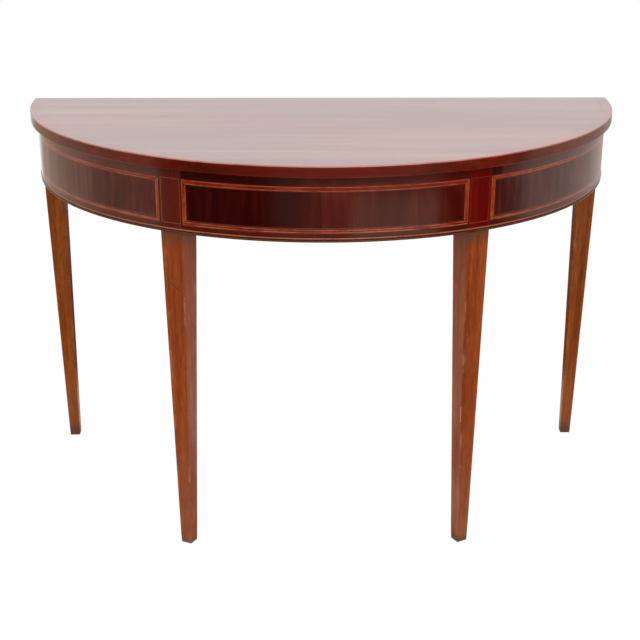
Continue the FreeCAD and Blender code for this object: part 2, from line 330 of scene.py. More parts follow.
@dataclass(frozen=True)
class Figure:
    """A pattern of soft noise: its stretch, its fineness, its twist, and the span of tones that counts."""

    scales: Scales
    detail: float = 2.0
    twist: float = 0.0
    span: Optional[Flat] = None

    def on(self, bench: Bench, run: Signal) -> Signal:
        """Lay the pattern over a piece.

        Args:
            bench: Where the nodes are made.
            run: Place along and across the grain.

        Returns:
            The pattern's tone at each spot.
        """
        inputs = {"Vector": bench.stretch(run, self.scales), "Scale": 1.0, "Detail": self.detail,
                  "Distortion": self.twist}
        tone = bench.add("TexNoise", None, inputs)
        return tone.step(*self.span) if self.span else tone


@dataclass(frozen=True)
class Finish:
    """What every finish has: a name, and a seed that moves its pattern."""

    name: str
    seed: float = 0.0

    SEED_STEPS = (3.17, 1.73, 2.39)

    def material(self) -> bpy.types.Material:
        """Make the material the first time, and find it again after that.

        Returns:
            The finish's one material.
        """
        made = bpy.data.materials.get(self.name)
        if made is None:
            made = bpy.data.materials.new(self.name)
            made.use_nodes = True
            self.dress(Bench(made.node_tree))
        return made

    def offset(self) -> Scales:
        """How far the seed moves the pattern along each axis."""
        return tuple(step * self.seed for step in self.SEED_STEPS)

    def places(self, bench: Bench) -> tuple[Signal, Signal, Signal]:
        """Read the place in the grain, the same moved by the seed, and the wear, which on the top's arris
        and the bead's nose also paints a highlight.
        """
        grain = bench.attribute("grain", "Vector")
        return grain, bench.shift(grain, self.offset()), bench.attribute("wear", "Fac")

    def dress(self, bench: Bench) -> None:
        """Make the nodes of the finish."""
        raise NotImplementedError


@dataclass(frozen=True)
class Scratch:
    """A short straight mark through the polish, between two places in the grain's coordinates."""

    start: Scales
    end: Scales
    half: float
    colour: Colour
    share: float = 0.8

    def mark(self, bench: Bench, grain: Signal) -> Signal:
        """Measure from each spot to the mark.

        Args:
            bench: Where the nodes are made.
            grain: Place along and across the grain.

        Returns:
            How deep in the mark each spot is.
        """
        run = Vector(self.end) - Vector(self.start)
        reach = bench.shift(grain, tuple(-value for value in self.start))
        gone = bench.measure("DOT_PRODUCT", reach, tuple(run / run.length_squared)).larger(0.0).smaller(1.0)
        away = bench.measure("DISTANCE", reach, bench.joined(*(gone * value for value in run)))
        return (1.0 - away.step(0.0, self.half)) * self.share


@dataclass(frozen=True)
class PolishedWood(Finish):
    """Solid mahogany under old polish, with grain along the first axis and tones from dark to light."""

    tones: Tones = ((0.078, 0.0065, 0.0016), (0.108, 0.0110, 0.0028), (0.145, 0.0185, 0.0062))
    pore: Colour = (0.035, 0.004, 0.0015)
    worn: Colour = (0.28, 0.055, 0.028)
    wear_share: float = 0.8
    pore_share: float = 0.35
    bands: Figure = Figure((1.3, 16.0, 16.0), 3.0, 0.5)
    stripes: Figure = Figure((3.5, 95.0, 95.0), 4.0, 0.3)
    fibres: Figure = Figure((22.0, 900.0, 900.0))
    pores: Figure = Figure((55.0, 1700.0, 1700.0), 1.0, 0.0, (0.60, 0.72))
    patches: Figure = Figure((28.0, 45.0, 45.0), 3.0)
    patch_range: Flat = (0.36, 0.62)
    shares: Scales = (0.5, 0.34, 0.16)
    roughness: float = 0.15
    rough_swing: float = 0.08
    mark_rough: float = 0.2
    coat: float = 0.78
    coat_roughness: float = 0.07
    specular: float = 0.5
    relief: float = 0.04 * MM
    fibre_relief: float = 0.4
    pore_relief: float = 0.6
    scratches: tuple[Scratch, ...] = ()

    STOPS = (0.34, 0.50, 0.66)

    def dress(self, bench: Bench) -> None:
        """Lay grain, pores, age and polish over each other.

        Args:
            bench: Where the nodes are made.
        """
        grain, run, wear = self.places(bench)
        bands, stripes, fibres, pores = (figure.on(bench, run) for figure in
                                         (self.bands, self.stripes, self.fibres, self.pores))
        band_share, stripe_share, fibre_share = self.shares
        tone = bands * band_share + stripes * stripe_share + fibres * fibre_share
        colour = bench.ramp(tone, self.STOPS, self.tones)
        colour = bench.blend(pores * self.pore_share, colour, self.pore)
        # On the top and the bead this worn colour also paints highlights along the arris and the nose.
        wear_and_sheen = wear * self.patches.on(bench, run).step(*self.patch_range)
        colour = bench.blend(wear_and_sheen * self.wear_share, colour, self.worn)
        colour, marks = self.age(bench, grain, run, colour)
        polish = self.polish(bench, grain, tone)
        for scratch in self.scratches:
            mark = scratch.mark(bench, grain)
            colour = bench.blend(mark, colour, scratch.colour)
            polish = (1.0 - mark) * polish
        swing = (fibres - NOISE_MEAN) * self.rough_swing + wear_and_sheen * self.rough_swing
        height = fibres * self.fibre_relief + (1.0 - pores) * self.pore_relief
        bench.surface(Base_Color=colour, Roughness=self.roughness + swing + marks * self.mark_rough,
                      Normal=bench.bump(height, self.relief), Coat_Weight=polish,
                      Coat_Roughness=self.coat_roughness, Specular_IOR_Level=self.specular)

    def polish(self, bench: Bench, grain: Signal, tone: Signal) -> Value:
        """Tell how much polish lies on the wood, from the place on the piece and the grain's tone."""
        return self.coat

    def age(self, bench: Bench, grain: Signal, run: Signal, colour: Signal) -> tuple[Signal, Value]:
        """Add the marks of one kind of piece.

        Args:
            bench: Where the nodes are made.
            grain: Place along and across the grain.
            run: The same, moved by the seed.
            colour: The colour so far.

        Returns:
            The aged colour, and how strong the marks are.
        """
        return colour, 0.0


@dataclass(frozen=True)
class TopWood(PolishedWood):
    """Wide boards of the top, with fine lines where they are glued."""

    seams: tuple[float, ...] = (-0.098, 0.098)
    seam_half: float = 0.35 * MM
    seam_colour: Colour = (0.03, 0.005, 0.002)
    seam_share: float = 0.25
    seam_breaks: Figure = Figure((6.0, 1.0, 1.0), span=(0.3, 0.6))
    face_height: float = 0.7404
    edge_blend: float = 1.0 * MM
    edge_shade: Colour = (0.42, 0.16, 0.14)
    rim_centre: float = 0.286
    rim_reach: Flat = (0.538, 0.580)
    rim_wear_and_sheen_tint: Colour = (1.25, 1.0, 1.0)
    rim_coat: float = 0.12
    front_coat: float = 0.80
    coat_reach: Flat = (-0.26, 0.12)
    coat_swing: float = 0.26
    clouds: Figure = Figure((3.2, 9.0, 1.0), 3.0, 0.0, (0.40, 0.62))
    cloud_tint: Colour = (0.95, 1.55, 1.2)
    cloud_share: float = 0.8

    def polish(self, bench: Bench, grain: Signal, tone: Signal) -> Value:
        """Let the polish be thin along the back and in dry streaks.

        Args:
            bench: Where the nodes are made.
            grain: Place along and across the grain.
            tone: The grain's tone.

        Returns:
            How much polish there is.
        """
        worn = bench.parts(grain)[1].step(*self.coat_reach) * (self.front_coat - self.coat)
        streaks = (tone - NOISE_MEAN) * self.coat_swing
        return self.front_coat - worn + streaks - self.rim(bench, grain) * self.rim_coat

    def rim(self, bench: Bench, grain: Signal) -> Signal:
        """Find the rim along the curved edge, where hands have worn the polish thin.

        Args:
            bench: Where the nodes are made.
            grain: Place along and across the grain.

        Returns:
            How near each spot is to the edge.
        """
        along, across, _ = bench.parts(grain)
        reach = bench.joined(along, across - self.rim_centre, 0.0)
        return bench.measure("LENGTH", reach).step(*self.rim_reach)

    def age(self, bench: Bench, grain: Signal, run: Signal, colour: Signal) -> tuple[Signal, Value]:
        """Cloud the colour, redden the rim as thin polish and painted highlight, darken the edge, and draw
        the glue lines, broken here and there.

        Args:
            bench: Where the nodes are made.
            grain: Place along and across the grain.
            run: The same, moved by the seed.
            colour: The colour so far.

        Returns:
            The aged colour, and where the glue lines are.
        """
        _, across, height = bench.parts(grain)
        edge = 1.0 - height.step(self.face_height - self.edge_blend, self.face_height)
        cloud = self.clouds.on(bench, run) * self.cloud_share
        colour = bench.blend(cloud, colour, self.cloud_tint, "MULTIPLY")
        # Redder towards the front rim: partly thin polish, partly a painted ramp leading into the arris
        # highlight.
        colour = bench.blend(self.rim(bench, grain) * (1.0 - edge), colour, self.rim_wear_and_sheen_tint, "MULTIPLY")
        colour = bench.blend(edge, colour, self.edge_shade, "MULTIPLY")
        line: Value = 0.0
        for seam in self.seams:
            line = 1.0 - abs(across - seam).step(0.0, self.seam_half) + line
        marks = line * self.seam_breaks.on(bench, run) * (1.0 - edge)
        return bench.blend(marks * self.seam_share, colour, self.seam_colour), marks


@dataclass(frozen=True)
class LegWood(PolishedWood):
    """Legs, paler in clouds towards the foot and darker at the foot itself, with painted shade at the head
    under the frieze.
    """

    clouds: Figure = Figure((30.0, 40.0, 40.0), 3.0)
    pale_colour: Colour = (0.34, 0.145, 0.075)
    pale_reach: Flat = (0.02, 0.30)
    pale_share: float = 0.45
    foot_colour: Colour = (0.075, 0.045, 0.030)
    foot_height: float = 0.022
    foot_share: float = 0.7
    knocks: Figure = Figure((60.0, 170.0, 170.0), span=(0.70, 0.76))
    knock_colour: Colour = (0.045, 0.012, 0.005)
    knock_share: float = 0.5
    mottle: Figure = Figure((38.0, 250.0, 250.0), 3.0, 0.4, (0.36, 0.64))
    mottle_dark: Colour = (0.80, 0.76, 0.74)
    # Painted shade: the head of the leg darkens just under the frieze, where the frieze's shadow falls.
    head_shadow_colour: Colour = (0.060, 0.034, 0.018)
    head_shadow_reach: Flat = (0.570, 0.616)
    head_shadow_swing: float = 2.0
    head_shadow_share: float = 0.0

    def age(self, bench: Bench, grain: Signal, run: Signal, colour: Signal) -> tuple[Signal, Value]:
        """Pale the lower leg in clouds, darken the foot, paint shade at the head under the frieze, and add a
        few small knocks.

        Args:
            bench: Where the nodes are made.
            grain: Place along and across the grain.
            run: The same, moved by the seed.
            colour: The colour so far.

        Returns:
            The aged colour, and how dark the foot is.
        """
        height = bench.parts(grain)[0]
        cloud = self.clouds.on(bench, run)
        colour = bench.blend(1.0 - self.mottle.on(bench, run), colour, self.mottle_dark, "MULTIPLY")
        pale = (1.0 - height.step(*self.pale_reach)) * cloud
        colour = bench.blend(pale * self.pale_share, colour, self.pale_colour)
        swing = (cloud - NOISE_MEAN) * self.foot_height
        foot = 1.0 - (height + swing).step(0.0, self.foot_height)
        colour = bench.blend(foot * self.foot_share, colour, self.foot_colour)
        # Painted shade at the head of the leg, under the frieze.
        head_shadow = (height + swing * self.head_shadow_swing).step(*self.head_shadow_reach)
        colour = bench.blend(head_shadow * self.head_shadow_share, colour, self.head_shadow_colour)
        return bench.blend(self.knocks.on(bench, run) * self.knock_share, colour, self.knock_colour), foot


@dataclass(frozen=True)
class TintBand:
    """A band between two places along a piece, whose colour is multiplied by a tint there; the script uses
    it for a dark seam, for painted reflections and for painted shade.
    """

    start: float
    end: float
    tint: Colour
    soft: float = 1.0 * MM

    def share(self, along: Signal) -> Signal:
        """Tell where the band lies."""
        begun = along.step(self.start - self.soft, self.start + self.soft)
        return begun - along.step(self.end - self.soft, self.end + self.soft)


@dataclass(frozen=True)
class BorderWood(PolishedWood):
    """Straight-grained veneer, with bands along it tinted for a seam, for painted reflections and for
    painted shade.
    """

    tint_bands: tuple[TintBand, ...] = ()

    def age(self, bench: Bench, grain: Signal, run: Signal, colour: Signal) -> tuple[Signal, Value]:
        """Tint each band along the piece: a seam, painted reflections and painted shade.

        Args:
            bench: Where the nodes are made.
            grain: Place along and across the grain.
            run: The same, moved by the seed.
            colour: The colour so far.

        Returns:
            The toned colour, and no marks.
        """
        along = bench.parts(grain)[0]
        # Each band multiplies the colour by its tint; some bands are painted reflections and painted shadow.
        for leaf in self.tint_bands:
            colour = bench.blend(leaf.share(along), colour, leaf.tint, "MULTIPLY")
        return colour, 0.0


@dataclass(frozen=True)
class FlameVeneer(Finish):
    """Dark veneer whose figure rises up the panel in plumes."""

    tones: Tones = ((0.032, 0.0018, 0.0008), (0.050, 0.0036, 0.0014), (0.105, 0.0220, 0.0110))
    glue: Colour = (0.012, 0.002, 0.001)
    glue_share: float = 0.7
    tint_bands: tuple[TintBand, ...] = ()
    middle_height: float = 0.6645
    lean: float = 1.6
    sway: float = 0.014
    drifts: Figure = Figure((9.0, 12.0, 1.0))
    plumes: Figure = Figure((70.0, 7.0, 1.0), 5.0, 0.6)
    glows: Figure = Figure((11.0, 16.0, 1.0))
    fibres: Figure = Figure((1100.0, 30.0, 1.0))
    gloss: Figure = Figure((38.0, 5.0, 1.0), 3.0)
    shares: Scales = (0.55, 0.30, 0.15)
    roughness: float = 0.10
    rough_swing: float = 0.06
    coat: float = 0.95
    coat_swing: float = 1.1
    coat_roughness: float = 0.05
    relief: float = 0.03 * MM

    STOPS = (0.36, 0.50, 0.66)

    def dress(self, bench: Bench) -> None:
        """Bend upright grain into plumes and lay gloss over it.

        Args:
            bench: Where the nodes are made.
        """
        grain, run, edge = self.places(bench)
        along, up, _ = bench.parts(run)
        place, height, _ = bench.parts(grain)
        rise = height - self.middle_height
        drift = (self.drifts.on(bench, run) - NOISE_MEAN) * self.sway
        bent = bench.joined(along + drift + rise * rise * self.lean, up, self.seed)
        fibres = self.fibres.on(bench, bent)
        plume_share, glow_share, fibre_share = self.shares
        tone = self.plumes.on(bench, bent) * plume_share + self.glows.on(bench, run) * glow_share
        colour = bench.ramp(tone + fibres * fibre_share, self.STOPS, self.tones)
        # In the centre bay these tints paint reflections across the panel.
        for leaf in self.tint_bands:
            colour = bench.blend(leaf.share(place), colour, leaf.tint, "MULTIPLY")
        colour = bench.blend(edge * self.glue_share, colour, self.glue)
        rough = self.roughness + (fibres - NOISE_MEAN) * self.rough_swing
        polish = self.coat + (self.gloss.on(bench, bent) - NOISE_MEAN) * self.coat_swing
        bench.surface(Base_Color=colour, Roughness=rough, Normal=bench.bump(fibres, self.relief),
                      Coat_Weight=polish, Coat_Roughness=self.coat_roughness)


@dataclass(frozen=True)
class CrossBanding(Finish):
    """Strip of short cross-grained pieces between dark lines; its grain's second axis points inwards."""

    half_width: float = 4.5 * MM
    inner_line: float = 0.9 * MM
    outer_line: float = 0.7 * MM
    line_soft: float = 0.4 * MM
    line_shares: Flat = (0.6, 0.4)
    segment: float = 0.047
    wanders: Figure = Figure((9.0, 9.0, 9.0), 1.0)
    wander: float = 0.03
    figures: Figure = Figure((150.0, 24.0, 1.0), 3.0)
    fibres: Figure = Figure((1500.0, 60.0, 1.0))
    streaks: Figure = Figure((40.0, 300.0, 1.0), span=(0.25, 0.75))
    shares: Scales = (0.30, 0.50, 0.20)
    tones: Tones = ((0.090, 0.0035, 0.0009), (0.150, 0.0080, 0.0018), (0.230, 0.0220, 0.0050))
    line: Colour = (0.05, 0.004, 0.0015)
    pale_line: float = 1.4 * MM
    pale: Colour = (0.44, 0.085, 0.018)
    pale_share: float = 0.85
    hues: Figure = Figure((17.0, 40.0, 1.0))
    hue_share: float = 0.7
    amber: Colour = (1.25, 1.9, 1.2)
    amber_span: Flat = (0.50, 0.62)
    rose: Colour = (1.15, 1.7, 4.0)
    rose_span: Flat = (0.34, 0.44)
    joint: Colour = (0.06, 0.010, 0.004)
    joint_half: float = 0.25 * MM
    joint_share: float = 0.6
    glue: Colour = (0.018, 0.003, 0.0015)
    glue_share: float = 0.9
    roughness: float = 0.12
    rough_swing: float = 0.06
    coat_roughness: float = 0.06
    relief: float = 0.03 * MM

    STOPS = (0.22, 0.48, 0.76)

    def edging(self, across: Signal, width: float) -> Signal:
        """Draw a line along both edges of the strip.

        Args:
            across: Place across the strip, growing inwards.
            width: How far the line reaches past the dark lines.

        Returns:
            1 on the lines and 0 between them.
        """
        inner, outer = self.half_width - self.inner_line - width, self.half_width - self.outer_line - width
        inside = across.step(inner - self.line_soft, inner + self.line_soft)
        return inside + (0.0 - across).step(outer - self.line_soft, outer + self.line_soft)

    def dress(self, bench: Bench) -> None:
        """Set the short pieces side by side and edge them with fine lines.

        Args:
            bench: Where the nodes are made.
        """
        grain, run, edge = self.places(bench)
        along, across, _ = bench.parts(grain)
        place = along + self.wanders.on(bench, grain) * self.wander + self.seed
        number = math.floor(place / self.segment)
        piece = bench.add("TexWhiteNoise", {"noise_dimensions": "1D"}, {"W": number})
        fibres = self.fibres.on(bench, run)
        piece_share, figure_share, fibre_share = self.shares
        tone = piece * piece_share + self.figures.on(bench, run) * figure_share + fibres * fibre_share
        colour = bench.ramp(tone, self.STOPS, self.tones)
        gap = abs(place % self.segment - self.segment / 2)
        joints = gap.step(self.segment / 2 - self.joint_half, self.segment / 2)
        colour = bench.blend(joints * self.joint_share, colour, self.joint)
        hue = self.hues.on(bench, run)
        rosy = 1.0 - hue.step(*self.rose_span)
        colour = bench.blend(hue.step(*self.amber_span) * self.hue_share, colour, self.amber, "MULTIPLY")
        colour = bench.blend(rosy * self.hue_share, colour, self.rose, "MULTIPLY")
        streak = self.streaks.on(bench, run)
        pale = self.edging(across, self.pale_line) * (streak * self.pale_share)
        colour = bench.blend(pale, colour, self.pale)
        base_share, streak_share = self.line_shares
        lines = self.edging(across, 0.0) * (base_share + streak * streak_share)
        colour = bench.blend(lines, colour, self.line)
        colour = bench.blend(edge * self.glue_share, colour, self.glue)
        rough = self.roughness + (fibres - NOISE_MEAN) * self.rough_swing
        bench.surface(Base_Color=colour, Roughness=rough, Normal=bench.bump(fibres, self.relief),
                      Coat_Weight=1.0, Coat_Roughness=self.coat_roughness)


@dataclass(frozen=True)
class Pine(Finish):
    """Sawn pine of the carcase, darkened with age, with grain along X turned about Z."""

    turn: float = 0.0
    early: Colour = (0.42, 0.205, 0.082)
    late: Colour = (0.26, 0.098, 0.032)
    dirt: Colour = (0.13, 0.060, 0.027)
    dirt_share: float = 0.45
    wanders: Figure = Figure((1.3, 14.0, 14.0), 3.0, 0.4)
    fibres: Figure = Figure((20.0, 700.0, 700.0))
    clouds: Figure = Figure((7.0, 9.0, 9.0), 4.0, 0.0, (0.42, 0.72))
    ring_pitch: float = 0.006
    ring_slope: Flat = (0.75, 0.45)
    ring_wander: float = 0.022
    ring_rise: Flat = (0.25, 0.92)
    ring_fall: Flat = (0.93, 1.0)
    ring_share: float = 0.7
    fibre_share: float = 0.5
    saw_pitch: float = 0.0035
    saw_slope: float = 0.3
    saw_wander: float = 0.004
    saw_relief: float = 0.6
    fibre_relief: float = 0.4
    relief: float = 0.12 * MM
    roughness: float = 0.68
    rough_swing: float = 0.2
    specular: float = 0.3

    def dress(self, bench: Bench) -> None:
        """Lay growth rings, saw marks and dust over each other.

        Args:
            bench: Where the nodes are made.
        """
        place = bench.add("TexCoord", None, None, "Object")
        settings = {"rotation_type": "Z_AXIS"}
        turned = bench.add("VectorRotate", settings, {"Vector": place, "Angle": -math.radians(self.turn)})
        run = bench.shift(turned, self.offset())
        along, across, up = bench.parts(run)
        wander, fibres = self.wanders.on(bench, run), self.fibres.on(bench, run)
        slope_across, slope_up = self.ring_slope
        depth = across * slope_across + up * slope_up + wander * self.ring_wander
        phase = (depth % self.ring_pitch) / self.ring_pitch
        rings = phase.step(*self.ring_rise) - phase.step(*self.ring_fall)
        tone = rings * self.ring_share + (fibres - NOISE_MEAN) * self.fibre_share
        colour = bench.blend(tone, self.early, self.late)
        colour = bench.blend(self.clouds.on(bench, run) * self.dirt_share, colour, self.dirt)
        stroke = (along + up * self.saw_slope + wander * self.saw_wander) % self.saw_pitch
        saw = abs(stroke - self.saw_pitch / 2) / self.saw_pitch
        height = saw * self.saw_relief + fibres * self.fibre_relief
        bench.surface(Base_Color=colour, Roughness=self.roughness + (fibres - NOISE_MEAN) * self.rough_swing,
                      Normal=bench.bump(height, self.relief), Specular_IOR_Level=self.specular)


@dataclass(frozen=True)
class Oak(Finish):
    """End grain of the oak pegs."""

    ground: Colour = (0.16, 0.080, 0.034)
    pore: Colour = (0.045, 0.020, 0.009)
    pores: Figure = Figure((1500.0, 1500.0, 40.0), span=(0.52, 0.68))
    pore_share: float = 0.7
    rays: Figure = Figure((300.0, 2600.0, 40.0), 1.0, 0.0, (0.55, 0.75))
    ray_share: float = 0.3
    clouds: Figure = Figure((160.0, 160.0, 20.0), 3.0, 0.0, (0.5, 0.8))
    cloud_share: float = 0.5
    roughness: float = 0.55
    pore_rough: float = 0.2
    relief: float = 0.10 * MM

    def dress(self, bench: Bench) -> None:
        """Scatter pores over the cut end and rays across it.

        Args:
            bench: Where the nodes are made.
        """
        run = bench.shift(bench.attribute("grain", "Vector"), self.offset())
        pores = self.pores.on(bench, run)
        colour = bench.blend(pores * self.pore_share, self.ground, self.pore)
        colour = bench.blend(self.rays.on(bench, run) * self.ray_share, colour, self.ground)
        colour = bench.blend(self.clouds.on(bench, run) * self.cloud_share, colour, self.pore)
        bench.surface(Base_Color=colour, Roughness=self.roughness + pores * self.pore_rough,
                      Normal=bench.bump(1.0 - pores, self.relief))


@dataclass(frozen=True)
class OldIron(Finish):
    """Iron of the wood screws, dull with a little rust."""

    bare: Colour = (0.13, 0.125, 0.12)
    rust: Colour = (0.11, 0.038, 0.014)
    clouds: Figure = Figure((420.0, 420.0, 420.0), 4.0)
    grit: Figure = Figure((2600.0, 2600.0, 2600.0))
    rust_span: Flat = (0.46, 0.62)
    rust_cover: float = 0.9
    roughness: float = 0.42
    rust_rough: float = 0.35
    grit_rough: float = 0.08
    grit_relief: float = 0.5
    cloud_relief: float = 0.5
    relief: float = 0.08 * MM

    def dress(self, bench: Bench) -> None:
        """Let rust spread over dull iron.

        Args:
            bench: Where the nodes are made.
        """
        place = bench.add("TexCoord", None, None, "Object")
        cloud, grit = self.clouds.on(bench, place), self.grit.on(bench, place)
        rusty = cloud.step(*self.rust_span)
        rough = self.roughness + rusty * self.rust_rough + grit * self.grit_rough
        height = grit * self.grit_relief + cloud * self.cloud_relief
        bench.surface(Base_Color=bench.blend(rusty, self.bare, self.rust), Roughness=rough,
                      Metallic=1.0 - rusty * self.rust_cover, Normal=bench.bump(height, self.relief))


@dataclass(frozen=True)
class Plan:
    """Main lines of the table, in metres; angles are in degrees from the front, growing towards +X."""

    table_height: float = 0.742
    under_top: float = 0.722
    frieze_bottom: float = 0.609
    bead_top: float = 0.617
    panel_bottom: float = 0.6245
    panel_top: float = 0.7045
    top_radius: float = 0.580
    face_radius: float = 0.567
    skin_radius: float = 0.5651
    leg_face_radius: float = 0.5665
    centre_y: float = 0.286
    back_edge: float = 0.294
    front_leg_angle: float = 27.75
    front_die_half: float = 2.2823
    back_die_angle: float = 86.0420
    end_angle: float = 90.0

    def point(self, radius: float, angle: float, height: float) -> Vector:
        """Place a point on the curve."""
        turn = math.radians(angle)
        return Vector((radius * math.sin(turn), self.centre_y - radius * math.cos(turn), height))

    def arc(self, angle: float) -> float:
        """Length along the frieze's face from the front to an angle."""
        return math.radians(angle) * self.face_radius

    def unrolled(self, radius: float, arc: float, height: float) -> Vector:
        """Place a point of the unrolled face back on the curve."""
        return self.point(radius, math.degrees(arc / self.face_radius), height)


def lerp(first: float, second: float, share: float) -> float:
    """Go part of the way from one value to another."""
    return first + (second - first) * share


def oblong(left: float, right: float, low: float, high: float) -> tuple[Flat, ...]:
    """Draw an oblong, anticlockwise from its low left corner."""
    return ((left, low), (right, low), (right, high), (left, high))


def inset(corners: Sequence[Flat], width: float) -> list[Flat]:
    """Draw a convex outline again, moved inwards.

    Args:
        corners: The outline, anticlockwise.
        width: How far each side moves.

    Returns:
        The corners of the smaller outline.
    """
    points = [Vector(corner) for corner in corners]
    count = len(points)
    moved = []
    for number, point in enumerate(points):
        before = (point - points[number - 1]).normalized()
        after = (points[(number + 1) % count] - point).normalized()
        normals = [Vector((-side.y, side.x)) for side in (before, after)]
        reach = (normals[0] + normals[1]) / (1.0 + normals[0].dot(normals[1]))
        moved.append(tuple(point + reach * width))
    return moved


class Form:
    """Points and faces of one piece while it is being made."""

    def __init__(self) -> None:
        """Start with nothing."""
        self.places: list[Vector] = []
        self.grain: list[Scales] = []
        self.wear: list[float] = []
        self.faces: list[tuple[int, ...]] = []

    def add(self, place: Vector, grain: Scales, wear: float = 0.0) -> int:
        """Add a point.

        Args:
            place: Where it is.
            grain: Its place along and across the grain.
            wear: How exposed it is, from 0 to 1; on the top's arris and the bead's nose it also paints a
                highlight.

        Returns:
            The point's number.
        """
        self.places.append(place)
        self.grain.append(grain)
        self.wear.append(wear)
        return len(self.places) - 1

    def skin(self, first: Sequence[int], second: Sequence[int], closed: bool = True) -> None:
        """Join two rows of points with faces.

        Args:
            first: One row.
            second: The other row, of the same length.
            closed: Whether the rows run round and meet themselves.
        """
        count = len(first)
        for number in range(count if closed else count - 1):
            after = (number + 1) % count
            self.faces.append((first[number], first[after], second[after], second[number]))

    def cap(self, ring: Sequence[int]) -> None:
        """Close a ring with one flat face."""
        self.faces.append(tuple(ring))

    def loft(self, rings: Sequence[Sequence[int]]) -> None:
        """Join rings of points into one closed body.

        Args:
            rings: The rings in order, each of the same length.
        """
        for first, second in zip(rings, rings[1:]):
            self.skin(first, second)
        self.cap(rings[0][::-1])
        self.cap(rings[-1])

    def mesh(self, name: str) -> bpy.types.Mesh:
        """Turn the points and faces into a mesh that knows its grain and wear.

        Args:
            name: The mesh's name.

        Returns:
            The mesh.
        """
        mesh = bpy.data.meshes.new(name)
        mesh.from_pydata(self.places, [], self.faces)
        grain = mesh.attributes.new("grain", "FLOAT_VECTOR", "POINT")
        grain.data.foreach_set("vector", [value for place in self.grain for value in place])
        wear = mesh.attributes.new("wear", "FLOAT", "POINT")
        wear.data.foreach_set("value", self.wear)
        return mesh


class Assembly:
    """A group of pieces that are made and dressed together."""

    SUFFIX = ".finished"
    NORMAL_WEIGHT = 80

    def build(self) -> Iterator[bpy.types.Object]:
        """Make each piece in turn."""
        raise NotImplementedError

    def set_piece(self, mesh: bpy.types.Mesh, node: str, finish: Finish, slot: Slot) -> bpy.types.Object:
        """Put a finished mesh in the scene in place of its node.

        Args:
            mesh: The piece's mesh, in the frame's own place.
            node: The node that it stands for.
            finish: What covers it.
            slot: Not used.

        Returns:
            The new piece.
        """
        shape = bmesh.new()
        shape.from_mesh(mesh)
        bmesh.ops.recalc_face_normals(shape, faces=shape.faces)
        shape.to_mesh(mesh)
        shape.free()
        mesh.shade_smooth()
        mesh.set_sharp_from_angle(angle=SHARP_EDGE)
        mesh.materials.append(finish.material())
        piece = bpy.data.objects.new(node + self.SUFFIX, mesh)
        bpy.context.scene.collection.objects.link(piece)
        normals = piece.modifiers.new("even_shading", "WEIGHTED_NORMAL")
        normals.keep_sharp = True
        normals.weight = self.NORMAL_WEIGHT
        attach(piece, ROOT_BODY)
        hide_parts(node)
        return piece


